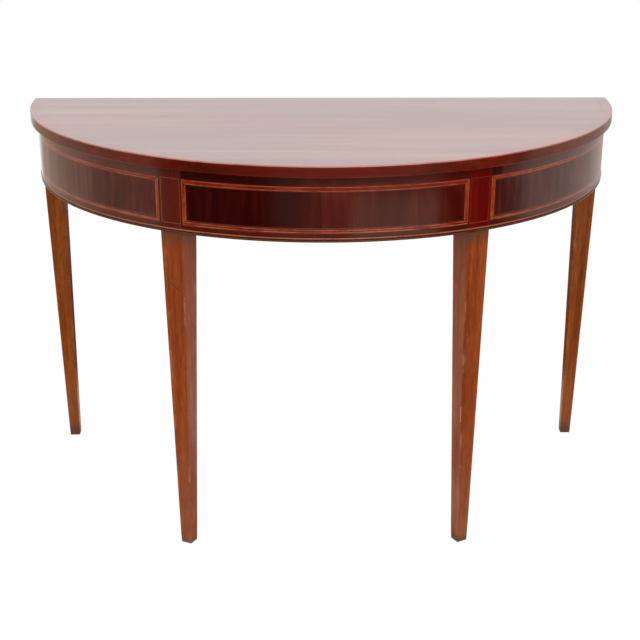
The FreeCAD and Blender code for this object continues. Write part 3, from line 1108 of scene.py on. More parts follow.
@dataclass
class Slab:
    """A sheet of veneer bent round the frieze, drawn on the unrolled face."""

    plan: Plan
    corners: Sequence[Flat]
    inner: float
    ease: float = 0.22 * MM
    hem: float = 0.7 * MM
    pitch: float = 8.0 * MM
    groove_sides: float = 0.0
    groove_ends: Flat = (0.0, 0.0)
    groove_width: float = 0.0
    groove_depth: float = 0.0

    EASE_STEPS = ((0.29, 0.29, 1.0), (0.0, 1.0, 1.0))
    RIM_WEAR = 0.6

    def spot(self, corners: Sequence[Flat], across: float, up: float) -> Flat:
        """Find a place between four corners.

        Args:
            corners: The outline, anticlockwise from the low left corner.
            across: Share of the way across.
            up: Share of the way up.

        Returns:
            The arc and the height there.
        """
        low, low_end, high_end, high = corners
        bottom = [lerp(a, b, across) for a, b in zip(low, low_end)]
        top = [lerp(a, b, across) for a, b in zip(high, high_end)]
        return (lerp(bottom[0], top[0], up), lerp(bottom[1], top[1], up))

    def lines(self, length: float, groove: float) -> list[float]:
        """Choose where the grid's lines stand along one side.

        Args:
            length: Length of the side.
            groove: Distance from the edge to the groove, or 0 without one.

        Returns:
            Shares of the length, in order.
        """
        count = max(1, round(length / self.pitch))
        hems = [self.hem]
        if self.groove_width:
            hems += [groove, groove + self.groove_width]
        reach = max(hems)
        free = length - 2 * reach
        spots = [0.0] + hems + [reach + free * n / count for n in range(1, count)]
        spots += [length - spot for spot in reversed(hems)] + [length]
        return [spot / length for spot in spots]

    def sunk(self, arc: float, height: float) -> bool:
        """Tell whether a spot lies in the groove.

        Args:
            arc: Its place along the frieze.
            height: Its height.

        Returns:
            Whether it does.
        """
        if not self.groove_width:
            return False
        (left, low), _, (right, high), _ = self.corners
        foot, head = self.groove_ends
        depths = (arc - left - self.groove_sides, right - self.groove_sides - arc,
                  height - low - foot, high - head - height)
        return 0.0 < min(depths) < self.groove_width

    def build(self, form: Form, grain: GrainMap) -> None:
        """Add the slab to a form.

        Args:
            form: The piece that it belongs to.
            grain: Gives the grain's coordinates from arc, height and radius.
        """
        outer = self.plan.face_radius
        low, low_end, _, high = (Vector(corner) for corner in self.corners)
        columns = self.lines((low_end - low).length, self.groove_sides)
        rows = self.row_lines((high - low).length)
        face = inset(self.corners, self.ease)
        known: dict[tuple[int, int, bool], int] = {}

        def put(corners: Sequence[Flat], i: int, j: int, radius: float, wear: float) -> int:
            """Add the point where two lines of the grid cross."""
            arc, height = self.spot(corners, columns[i], rows[j])
            return form.add(self.plan.unrolled(radius, arc, height), grain(arc, height, radius), wear)

        def front(i: int, j: int, deep: bool) -> int:
            """Find a point of the face or of the groove's floor, adding it the first time.

            Args:
                i: Column of the grid.
                j: Row of the grid.
                deep: Whether it is on the groove's floor.

            Returns:
                The point's number.
            """
            if (i, j, deep) not in known:
                rim = i in (0, len(columns) - 1) or j in (0, len(rows) - 1)
                radius = outer - self.groove_depth if deep else outer
                known[i, j, deep] = put(face, i, j, radius, self.RIM_WEAR if rim else 0.0)
            return known[i, j, deep]

        wide, tall = len(columns) - 1, len(rows) - 1
        deep = {}
        for i in range(wide):
            for j in range(tall):
                middle = ((columns[i] + columns[i + 1]) / 2, (rows[j] + rows[j + 1]) / 2)
                deep[i, j] = self.sunk(*self.spot(self.corners, *middle))
        for (i, j), low_cell in deep.items():
            form.faces.append(tuple(front(x, y, low_cell) for x, y in
                                    ((i, j), (i + 1, j), (i + 1, j + 1), (i, j + 1))))
            for other, ends in (((i - 1, j), ((i, j), (i, j + 1))), ((i, j - 1), ((i, j), (i + 1, j)))):
                if other in deep and deep[other] != low_cell:
                    near, far = ends
                    form.faces.append((front(*near, False), front(*far, False), front(*far, True),
                                       front(*near, True)))
        round_trip = [(i, 0) for i in range(wide)] + [(wide, j) for j in range(tall)]
        round_trip += [(i, tall) for i in range(wide, 0, -1)] + [(0, j) for j in range(tall, 0, -1)]
        ring = [front(i, j, False) for i, j in round_trip]
        for inward, down, wear in self.EASE_STEPS:
            corners = inset(self.corners, self.ease * inward)
            lower = [put(corners, i, j, outer - self.ease * down, wear) for i, j in round_trip]
            form.skin(ring, lower)
            ring = lower
        back = {(i, j): put(self.corners, i, j, self.inner, 0.0)
                for i in range(wide + 1) for j in range(tall + 1)}
        form.skin(ring, [back[spot] for spot in round_trip])
        for i in range(wide):
            form.skin(*([back[column, j] for j in range(tall + 1)] for column in (i, i + 1)), closed=False)

    def row_lines(self, length: float) -> list[float]:
        """Choose where the grid's lines stand up the slab.

        Args:
            length: Height of the slab.

        Returns:
            Shares of the height, in order.
        """
        if not self.groove_width:
            return self.lines(length, 0.0)
        low, high = self.groove_ends
        edges = [self.hem, low, low + self.groove_width]
        tops = [high + self.groove_width, high, self.hem]
        return [spot / length for spot in [0.0, *edges, *[length - top for top in tops], length]]


@dataclass
class TableTop(Assembly):
    """Half-round leaf of three boards with softened edges."""

    plan: Plan
    wood: TopWood
    upper_round: float = 1.8 * MM
    lower_round: float = 1.2 * MM
    corner_round: float = 2.2 * MM
    hem: float = 4.0 * MM
    edge_hem: float = 2.5 * MM
    under_wear: float = 0.1
    # Wear round the edge; along the upper arris it also paints a highlight line, which fades towards the
    # ends.
    arris_wear_and_highlight: Flat = (0.4, 0.6)
    sheen_fade_reach: Flat = (0.20, 0.46)
    end_wear_and_sheen: float = 0.25
    columns: int = 240
    corner_steps: int = 5
    round_steps: int = 5

    NODES = ("top_front_board", "top_middle_board", "top_back_board")

    def outline(self, inward: float) -> list[Flat]:
        """Draw the edge of the leaf, moved inwards.

        Args:
            inward: How far the line lies inside the edge.

        Returns:
            Points of the line, anticlockwise from the left end of the curve.
        """
        plan = self.plan
        radius = plan.top_radius - inward
        points = []
        for step in range(self.columns + 1):
            place = plan.point(radius, 2 * plan.end_angle * step / self.columns - plan.end_angle, 0.0)
            points.append((place.x, place.y))
        turn = max(self.corner_round - inward, 0.0)
        away = max(self.corner_round, inward)
        for side, start in ((1, 0.0), (-1, 0.5)):
            for step in range(self.corner_steps + 1):
                angle = math.pi * (start + 0.5 * step / self.corner_steps)
                x = side * (plan.top_radius - away) + turn * math.cos(angle)
                points.append((x, plan.back_edge - away + turn * math.sin(angle)))
        return points

    def profile(self) -> Profile:
        """List the lines round the edge, from the underside to the top.

        Returns:
            Inset, height and wear of each line.
        """
        low, high = self.plan.under_top, self.plan.table_height
        least, swell = self.arris_wear_and_highlight
        lines = [(self.hem, low, 0.0)]
        for radius, middle, turns in ((self.lower_round, low + self.lower_round, (-QUARTER_TURN, 0.0)),
                                      (self.upper_round, high - self.upper_round, (0.0, QUARTER_TURN))):
            for step in range(self.round_steps + 1):
                share = step / self.round_steps
                angle = math.radians(lerp(*turns, share))
                # On the upper arris the wear, strongest at its middle, also paints the highlight line.
                wear = least + swell * math.sin(math.pi * share) if turns[1] else self.under_wear
                lines.append((radius * (1.0 - math.cos(angle)), middle + radius * math.sin(angle), wear))
            if turns[1] == 0.0:
                lines.append((0.0, low + self.lower_round + self.edge_hem, 0.0))
                lines.append((0.0, high - self.upper_round - self.edge_hem, 0.0))
        lines.append((self.hem, high, 0.0))
        return lines

    def wear_and_sheen(self, x: float) -> float:
        """Let the wear of the edge, and the highlight painted with it, fade towards the ends of the top.

        Args:
            x: Distance from the middle of the front, to either side.

        Returns:
            How much of the wear and painted highlight is left.
        """
        start, end = self.sheen_fade_reach
        gone = min(1.0, max(0.0, (abs(x) - start) / (end - start)))
        return lerp(1.0, self.end_wear_and_sheen, gone)

    def leaf(self) -> bpy.types.Mesh:
        """Make the whole leaf.

        Returns:
            One closed mesh.
        """
        form = Form()
        rings = []
        for inward, height, wear in self.profile():
            rings.append([form.add(Vector((x, y, height)), (x, y, height), wear * self.wear_and_sheen(x))
                          for x, y in self.outline(inward)])
        form.loft(rings)
        return form.mesh("leaf")

    def board(self, leaf: bpy.types.Mesh, front: Optional[float], back: Optional[float]) -> bpy.types.Mesh:
        """Cut one board out of the leaf.

        Args:
            leaf: The whole leaf.
            front: Where the board starts, if another board is in front of it.
            back: Where it ends, if another board is behind it.

        Returns:
            The board as a closed mesh.
        """
        shape = bmesh.new()
        shape.from_mesh(leaf)
        for line, side in ((front, -1.0), (back, 1.0)):
            if line is None:
                continue
            everything = shape.verts[:] + shape.edges[:] + shape.faces[:]
            bmesh.ops.bisect_plane(shape, geom=everything, plane_co=(0.0, line, 0.0),
                                   plane_no=(0.0, side, 0.0), clear_outer=True)
            bmesh.ops.edgeloop_fill(shape, edges=[edge for edge in shape.edges if edge.is_boundary])
        mesh = bpy.data.meshes.new("board")
        shape.to_mesh(mesh)
        shape.free()
        return mesh

    def build(self) -> Iterator[bpy.types.Object]:
        """Cut the leaf into its boards.

        Yields:
            Each board, from the front.
        """
        leaf = self.leaf()
        lines = (None, *self.wood.seams, None)
        for number, node in enumerate(self.NODES):
            mesh = self.board(leaf, lines[number], lines[number + 1])
            yield self.set_piece(mesh, node, self.wood, Slot.TOP)
        bpy.data.meshes.remove(leaf)


@dataclass
class FriezeBay(Assembly):
    """Veneers between two legs: a dark field, its banding, and a border above and below."""

    plan: Plan
    name: str
    start: float
    end: float
    field_veneer: FlameVeneer
    border_veneer: PolishedWood
    lower_veneer: PolishedWood
    banding: CrossBanding
    upright_bandings: tuple[CrossBanding, ...]
    band_width: float = 9.0 * MM
    bottom_line: float = 2.8 * MM
    bottom_pale: Colour = (0.47, 0.135, 0.062)
    strip_seed: float = 0.131

    def along(self, arc: float, height: float, radius: float) -> Scales:
        """Grain along the frieze."""
        return (arc, height, radius)

    def sheet(self, corners: Sequence[Flat], finish: Finish, part: str, slot: Slot) -> bpy.types.Object:
        """Make one oblong sheet.

        Args:
            corners: Its outline on the unrolled face.
            finish: What covers it.
            part: Its name in the bay.
            slot: The record's slot.

        Returns:
            The sheet.
        """
        form = Form()
        Slab(self.plan, corners, self.plan.skin_radius).build(form, self.along)
        node = f"{self.name}_{part}"
        return self.set_piece(form.mesh(node), node, finish, slot)

    def band(self, strip: Strip, outside: Sequence[Flat], inside: Sequence[Flat]) -> bpy.types.Object:
        """Make one mitred strip of the banding.

        Args:
            strip: Which side of the field it lies on.
            outside: Corners of the frame's outer line.
            inside: Corners of its inner line.

        Returns:
            The strip.
        """
        corners = strip.corners(outside, inside)
        middle = [sum(corner[axis] for corner in corners) / len(corners) for axis in range(2)]

        def grain(arc: float, height: float, radius: float) -> Scales:
            """Run the grain's first axis along the strip and its second towards the field.

            Args:
                arc: Place along the frieze.
                height: Height of the place.
                radius: Its distance from the curve's centre.

            Returns:
                The grain's coordinates there.
            """
            if strip.level:
                return (arc, strip.inward * (height - middle[1]), radius)
            return (height, strip.inward * (arc - middle[0]), radius)

        form = Form()
        Slab(self.plan, corners, self.plan.skin_radius).build(form, grain)
        node = f"{self.name}_band_{strip.value}"
        left_banding, right_banding = self.upright_bandings
        banding = {Strip.LEFT: left_banding, Strip.RIGHT: right_banding}.get(strip, self.banding)
        if strip is Strip.BOTTOM:
            banding = replace(banding, inner_line=self.bottom_line, pale=self.bottom_pale)
        seed = banding.seed + self.strip_seed * strip.number
        finish = replace(banding, name=node + "_wood", seed=seed)
        return self.set_piece(form.mesh(node), node, finish, Slot.BANDING)

    def build(self) -> Iterator[bpy.types.Object]:
        """Lay the borders, the field and the banding.

        Yields:
            Each sheet and strip.
        """
        plan = self.plan
        left, right = plan.arc(self.start), plan.arc(self.end)
        low, high, width = plan.panel_bottom, plan.panel_top, self.band_width
        upper, lower = oblong(left, right, high, plan.under_top), oblong(left, right, plan.bead_top, low)
        field = oblong(left + width, right - width, low + width, high - width)
        yield self.sheet(upper, self.border_veneer, "upper_border", Slot.BORDER)
        yield self.sheet(lower, self.lower_veneer, "lower_border", Slot.BORDER)
        yield self.sheet(field, self.field_veneer, "panel", Slot.PANEL)
        outside = oblong(left, right, low, high)
        inside = inset(outside, width)
        for strip in Strip:
            yield self.band(strip, outside, inside)


@dataclass
class LegDie(Assembly):
    """Veneer over the head of a leg, with a thin string let into it."""

    plan: Plan
    name: str
    start: float
    end: float
    veneer: PolishedWood
    string: PolishedWood
    string_width: float = 1.5 * MM
    string_depth: float = 1.2 * MM
    string_inset: float = 3.0 * MM
    string_gap: float = 0.1 * MM
    string_ease: float = 0.1 * MM
    string_hem: float = 0.4 * MM

    def build(self) -> Iterator[bpy.types.Object]:
        """Make the veneer with its groove, and the string that fills it.

        Yields:
            The veneer, then the string.
        """
        plan = self.plan
        left, right = plan.arc(self.start), plan.arc(self.end)
        low, high = plan.bead_top, plan.under_top
        form = Form()
        levels = (plan.panel_bottom - low, high - plan.panel_top)
        slab = Slab(plan, oblong(left, right, low, high), plan.skin_radius, groove_sides=self.string_inset,
                    groove_ends=levels, groove_width=self.string_width, groove_depth=self.string_depth)
        slab.build(form, lambda arc, height, radius: (height, arc, radius))
        node = f"{self.name}_die"
        yield self.set_piece(form.mesh(node), node, self.veneer, Slot.DIE)
        left, right = left + self.string_inset, right - self.string_inset
        low, high = plan.panel_bottom, plan.panel_top
        outside = oblong(left, right, low, high)
        inside = inset(outside, self.string_width)
        form = Form()
        floor = plan.face_radius - self.string_depth + self.string_gap
        for strip in Strip:

            def grain(arc: float, height: float, radius: float, level: bool = strip.level) -> Scales:
                """Run the grain along the string."""
                return (arc, height, radius) if level else (height, arc, radius)

            corners = strip.corners(outside, inside)
            Slab(plan, corners, floor, ease=self.string_ease, hem=self.string_hem).build(form, grain)
        node = f"{self.name}_stringing"
        yield self.set_piece(form.mesh(node), node, self.string, Slot.STRINGING)


@dataclass
class FootBead(Assembly):
    """Round-nosed bead along the foot of the frieze, with a quirk and a small fillet under it."""

    plan: Plan
    name: str
    start: float
    end: float
    wood: PolishedWood
    nose: float = 1.5 * MM
    nose_steps: int = 10
    fillet: float = 0.9 * MM
    fillet_height: float = 3.2 * MM
    fillet_ease: float = 0.4 * MM
    quirk_depth: float = 1.1 * MM
    quirk_width: float = 1.7 * MM
    fillet_wear_and_light: tuple[float, ...] = (0.1, 0.3, 0.3, 0.2)
    pitch: float = 0.8

    def profile(self) -> Profile:
        """Draw the bead's section, once round.

        Returns:
            Radius, height and wear of each point; the wear also paints a highlight along the nose and a
            faint light line on the fillet.
        """
        plan = self.plan
        low, face = plan.frieze_bottom, plan.face_radius
        step_top = low + self.fillet_height
        quirk_top = step_top + self.quirk_width
        half = (plan.bead_top - quirk_top) / 2
        middle = quirk_top + half
        reach, ease = face + self.fillet, self.fillet_ease
        fillet = ((reach - ease, low), (reach, low + ease), (reach, step_top - ease),
                  (reach - ease, step_top))
        lines = [(plan.skin_radius, low, 0.0)]
        lines += [(*spot, wear) for spot, wear in zip(fillet, self.fillet_wear_and_light)]
        lines += [(face - self.quirk_depth, height, 0.0) for height in (step_top, quirk_top)]
        for step in range(self.nose_steps + 1):
            angle = math.pi * (step / self.nose_steps - 0.5)
            reach = plan.face_radius + self.nose * math.cos(angle)
            # The wear, full at the front of the nose, paints a highlight line there as well as wear.
            lines.append((reach, middle + half * math.sin(angle), math.cos(angle)))
        lines.append((plan.skin_radius, plan.bead_top, 0.0))
        return lines

    def build(self) -> Iterator[bpy.types.Object]:
        """Sweep the section round the curve.

        Yields:
            The bead.
        """
        form = Form()
        steps = max(2, round(abs(self.end - self.start) / self.pitch))
        rings = []
        for step in range(steps + 1):
            angle = lerp(self.start, self.end, step / steps)
            arc = self.plan.arc(angle)
            rings.append([form.add(self.plan.point(radius, angle, height), (arc, height, radius), wear)
                          for radius, height, wear in self.profile()])
        form.loft(rings)
        node = f"{self.name}_bead"
        yield self.set_piece(form.mesh(node), node, self.wood, Slot.BEAD)


@dataclass(frozen=True)
class Section:
    """A leg's section at one height: near and far faces, then the half width or its two sides."""

    near: float
    far: float
    low: float
    high: float

    def towards(self, other: "Section", share: float) -> "Section":
        """Go part of the way to another section."""
        pairs = zip(astuple(self), astuple(other))
        return Section(*(lerp(first, second, share) for first, second in pairs))


@dataclass
class Leg(Assembly):
    """Square tapered leg with softened arrises and tongues above it inside the frieze."""

    plan: Plan
    node: str
    wood: LegWood
    place: Matrix
    foot: Section
    head: Section
    lines: Scales
    tongues: tuple[tuple[int, int], ...]
    seed: float = 0.0
    arris: float = 1.2 * MM
    foot_arris: float = 2.4 * MM
    foot_reach: float = 0.02
    foot_bevel: float = 1.2 * MM
    foot_lines: Scales = (0.2, 0.5, 0.8)
    bevel_middle: float = 0.3
    arris_swing: float = 0.20
    arris_waves: float = 18.0
    arris_wear: Flat = (0.45, 0.55)
    dent: float = 0.25 * MM
    dent_scales: Scales = (40.0, 40.0, 14.0)
    ring_pitch: float = 0.014
    arc_steps: int = 4

    SIDES = 4
    TOP_GAP = 0.05 * MM

    def ring(self, height: float, inward: float) -> Profile:
        """Draw the leg's section at one height.

        Args:
            height: Height above the floor.
            inward: How far the outline is drawn in, as at the bottom of the foot.

        Returns:
            Depth, width and wear of each point, anticlockwise from the near low corner.
        """
        share = height / self.plan.frieze_bottom
        section = self.foot.towards(self.head, share)
        near, far = section.near + inward, section.far - inward
        low, high = section.low + inward, section.high - inward
        rough = noise.noise(Vector((self.seed, 0.0, height * self.arris_waves)))
        fade = max(0.0, 1.0 - height / self.foot_reach)
        radius = lerp(self.arris, self.foot_arris, fade) * (1.0 + self.arris_swing * rough)
        corners = ((near, low, 2 * QUARTER_TURN), (far, low, 3 * QUARTER_TURN), (far, high, 0.0),
                   (near, high, QUARTER_TURN))
        stops = [lerp(first, last, share) for first, last in zip(self.foot_lines, self.lines)]
        least, swell = self.arris_wear
        points = []
        for number, (x, y, start) in enumerate(corners):
            inner_x = x + (radius if x == near else -radius)
            inner_y = y + (radius if y == low else -radius)
            for step in range(self.arc_steps + 1):
                turn = math.radians(start + QUARTER_TURN * step / self.arc_steps)
                wear = least + swell * math.sin(math.pi * step / self.arc_steps)
                points.append((inner_x + radius * math.cos(turn), inner_y + radius * math.sin(turn), wear))
            next_x, next_y, _ = corners[(number + 1) % self.SIDES]
            along = stops if number in (0, 1) else [1.0 - stop for stop in reversed(stops)]
            for stop in along:
                points.append((lerp(x, next_x, stop), lerp(y, next_y, stop), 0.0))
        return points

    def heights(self) -> list[tuple[float, float]]:
        """List the rings of the taper.

        Returns:
            Each ring's height and how far it is drawn in.
        """
        top = self.plan.frieze_bottom
        count = round((top - self.foot_bevel) / self.ring_pitch)
        middle = self.foot_bevel * self.bevel_middle
        rings = [(0.0, self.foot_bevel), (middle, middle)]
        return rings + [(lerp(self.foot_bevel, top, n / count), 0.0) for n in range(count + 1)]

    def rows(self, form: Form) -> list[list[int]]:
        """Add every ring of the taper to the form.

        Args:
            form: The leg while it is being made.

        Returns:
            The points of each ring, from the foot up.
        """
        rows = []
        top = self.plan.frieze_bottom
        depth_scale, width_scale, height_scale = self.dent_scales
        middle = (self.head.near + self.head.far) / 2
        for height, inward in self.heights():
            row = []
            for depth, width, wear in self.ring(height, inward):
                spot = Vector((depth * depth_scale, width * width_scale + self.seed, height * height_scale))
                worn = max(0.0, noise.noise(spot))
                fade = min(1.0, (top - height) / self.foot_reach) * min(1.0, height / self.foot_reach)
                scale = 1.0 - worn * self.dent * fade / (self.head.far - self.head.near)
                place = Vector((middle + (depth - middle) * scale, width * scale, height))
                row.append(form.add(self.place @ place, (height, width, depth), wear))
            rows.append(row)
        return rows

    def strip(self, row: Sequence[int], first: int, last: int) -> list[int]:
        """Pick the part of the top ring between two of its lines.

        Args:
            row: The top ring.
            first: The line that the part starts at, from 0 at the near face.
            last: The line that it ends at, up to 4 at the far face.

        Returns:
            The part's outline.
        """
        arc, stops = self.arc_steps + 1, len(self.lines)
        starts = [number * (arc + stops) for number in range(self.SIDES)]
        sides = [list(row[start + arc:start + arc + stops]) for start in starts]
        bends = [list(row[start:start + arc]) for start in starts]
        low, high = sides[0], sides[2][::-1]
        outline = bends[3] + sides[3] + bends[0] if first == 0 else [high[first - 1], low[first - 1]]
        outline = outline + low[first:last]
        if last > stops:
            outline = outline + bends[1] + sides[1] + bends[2]
        return outline + high[first:last][::-1]

    def build(self) -> Iterator[bpy.types.Object]:
        """Loft the taper, close its foot and raise the tongues.

        Yields:
            The leg.
        """
        form = Form()
        rows = self.rows(form)
        for first, second in zip(rows, rows[1:]):
            form.skin(first, second)
        form.cap(rows[0][::-1])
        filled = set()
        for first, last in self.tongues:
            outline = self.strip(rows[-1], first, last)
            raised = []
            for number in outline:
                x, y, _ = form.places[number]
                height = self.plan.under_top - self.TOP_GAP
                grain = (height, form.grain[number][1], form.grain[number][2])
                raised.append(form.add(Vector((x, y, height)), grain))
            form.skin(outline, raised)
            form.cap(raised)
            filled.update(range(first, last))
        for line in range(len(self.lines) + 1):
            if line not in filled:
                form.cap(self.strip(rows[-1], line, line + 1))
        yield self.set_piece(form.mesh(self.node), self.node, self.wood, Slot.LEG)


@dataclass(frozen=True)
class FrontLegPattern:
    """Sizes of a front leg, which is turned to follow the curve."""

    width: float = 45.0 * MM
    foot_width: float = 22.0 * MM
    batter: float = 1.5 * MM
    lean: float = 3.0 * MM
    web: Scales = (543.0 * MM, 557.0 * MM, 564.5 * MM)
    tongues: tuple[tuple[int, int], ...] = ((0, 1), (2, 3))

    def leg(self, plan: Plan, side: Side, wood: LegWood) -> Leg:
        """Set out one front leg.

        Args:
            plan: The table's main lines.
            side: Which front leg.
            wood: Its finish.

        Returns:
            The leg, ready to build.
        """
        far, half, foot_half = plan.leg_face_radius, self.width / 2, self.foot_width / 2
        head = Section(far - self.width, far, -half, half)
        foot_far = far - self.batter
        middle = -side.value * self.lean
        foot = Section(foot_far - self.foot_width, foot_far, middle - foot_half, middle + foot_half)
        turn = math.radians(side.value * plan.front_leg_angle - QUARTER_TURN)
        place = Matrix.Translation((0.0, plan.centre_y, 0.0)) @ Matrix.Rotation(turn, MATRIX_SIZE, "Z")
        lines = tuple((line - head.near) / self.width for line in self.web)
        node = f"front_{side.name.lower()}_leg"
        return Leg(plan, node, wood, place, foot, head, lines, self.tongues, seed=wood.seed)


@dataclass(frozen=True)
class BackLegPattern:
    """Sizes of a back leg, which stands square to the back."""

    width: float = 39.0 * MM
    foot_width: float = 21.0 * MM
    batter: float = 11.0 * MM
    post_face: float = 563.6 * MM
    post_lines: Flat = (0.3, 0.65)
    tongues: tuple[tuple[int, int], ...] = ((0, 3),)

    def leg(self, plan: Plan, side: Side, wood: LegWood) -> Leg:
        """Set out one back leg.

        Args:
            plan: The table's main lines.
            side: Which back leg.
            wood: Its finish.

        Returns:
            The leg, ready to build.
        """
        far = plan.leg_face_radius
        head = Section(far - self.width, far, -self.width, 0.0)
        foot_far = far - self.batter
        foot = Section(foot_far - self.foot_width, foot_far, -self.foot_width, 0.0)
        mirror = Matrix.Scale(side.value, MATRIX_SIZE, (1.0, 0.0, 0.0))
        place = Matrix.Translation((0.0, plan.centre_y, 0.0)) @ mirror
        lines = (*self.post_lines, (self.post_face - head.near) / self.width)
        node = f"back_{side.name.lower()}_leg"
        return Leg(plan, node, wood, place, foot, head, lines, self.tongues, seed=wood.seed)


@dataclass
class RailPegs(Assembly):
    """Oak pegs through the joints of the back rail, a little proud and not quite round."""

    plan: Plan
    wood: Oak
    radius: float = 3.45 * MM
    proud: float = 0.5 * MM
    depth: float = 26.0 * MM
    from_side: float = 537.5 * MM
    heights: tuple[float, ...] = (0.653, 0.691)
    facets: int = 18
    tip: float = 0.9
    bevel: float = 0.7 * MM
    bevel_lines: tuple[Flat, ...] = ((1.0, 1.0), (0.35, 0.94), (0.0, 0.72))
    shave: float = 0.02
    shave_steps: Flat = (0.7, 90.0)

    NODE = "rail_pegs"

    def peg(self, form: Form, side: Side, height: float) -> None:
        """Turn one peg.

        Args:
            form: The piece that it belongs to.
            side: Which end of the rail it is at.
            height: Height of its middle.
        """
        face = self.plan.centre_y + self.proud
        rims = [(self.plan.centre_y - self.depth, self.radius * self.tip)]
        rims += [(face - self.bevel * down, self.radius * share) for down, share in self.bevel_lines]
        facet_step, height_step = self.shave_steps
        rings = []
        for y, radius in rims:
            ring = []
            for facet in range(self.facets):
                turn = 2 * math.pi * facet / self.facets
                chance = noise.noise(Vector((facet * facet_step, height * height_step, side.value)))
                shaved = radius * (1.0 + self.shave * chance)
                x = side.value * self.from_side + shaved * math.cos(turn)
                z = height + shaved * math.sin(turn)
                ring.append(form.add(Vector((x, y, z)), (x, z, y)))
            rings.append(ring)
        form.loft(rings)

    def build(self) -> Iterator[bpy.types.Object]:
        """Turn four pegs in one piece.

        Yields:
            The pegs.
        """
        form = Form()
        for side in Side:
            for height in self.heights:
                self.peg(form, side, height)
        yield self.set_piece(form.mesh(self.NODE), self.NODE, self.wood, Slot.PEG)


@dataclass
class Carcase(Assembly):
    """Pine pieces and screws that stay as the frame has them and only take a finish."""

    plan: Plan
    pine: Pine
    iron: OldIron
    courses: tuple[tuple[str, int], ...] = (("bottom", 5), ("middle", 4), ("top", 5))
    turns: tuple[tuple[str, float], ...] = (("back_rail", 0.0), ("centre_bearer", 90.0),
                                            ("frieze_blocks", 20.0), ("rail_blocks", 0.0))
    seed_step: float = 0.37

    def dressed(self, node: str, finish: Finish) -> bpy.types.Object:
        """Give a node of the frame its finish.

        Args:
            node: The node's name.
            finish: What covers it.

        Returns:
            The node's object.
        """
        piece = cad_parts[node]
        for slot in piece.material_slots:
            slot.material = finish.material()
        return piece

    def build(self) -> Iterator[bpy.types.Object]:
        """Dress the bricks along their chords, then the straight pieces and the screws.

        Yields:
            Each node that is dressed.
        """
        turns = []
        for course, count in self.courses:
            step = 2 * self.plan.end_angle / count
            turns += [(f"core_{course}_{number + 1}", (number + 0.5) * step - self.plan.end_angle)
                      for number in range(count)]
        seed = self.pine.seed
        for node, turn in (*turns, *self.turns):
            seed += self.seed_step
            yield self.dressed(node, replace(self.pine, name=node + "_pine", seed=seed, turn=turn))
        yield self.dressed("top_screws", self.iron)


@dataclass(frozen=True)
class Card:
    """A glowing band on the dark sheet, seen only in the polish as a painted reflection, round part of the
    table between two headings in degrees from the front; a negative level darkens the sheet.
    """

    start: float
    end: float
    soft: float
    level: float
    reach: float = 30.0
    far_soft: float = 0.12

    def glow(self, heading: Signal, away: Signal) -> Signal:
        """Shine between the two headings, up to the card's far edge.

        Args:
            heading: Direction of a spot from the middle of the table.
            away: Its distance.

        Returns:
            How brightly the card shines there.
        """
        begun = heading.step(self.start - self.soft, self.start + self.soft)
        ended = heading.step(self.end - self.soft, self.end + self.soft)
        past = away.step(self.reach - self.far_soft, self.reach + self.far_soft)
        return (begun - ended) * (1.0 - past) * self.level


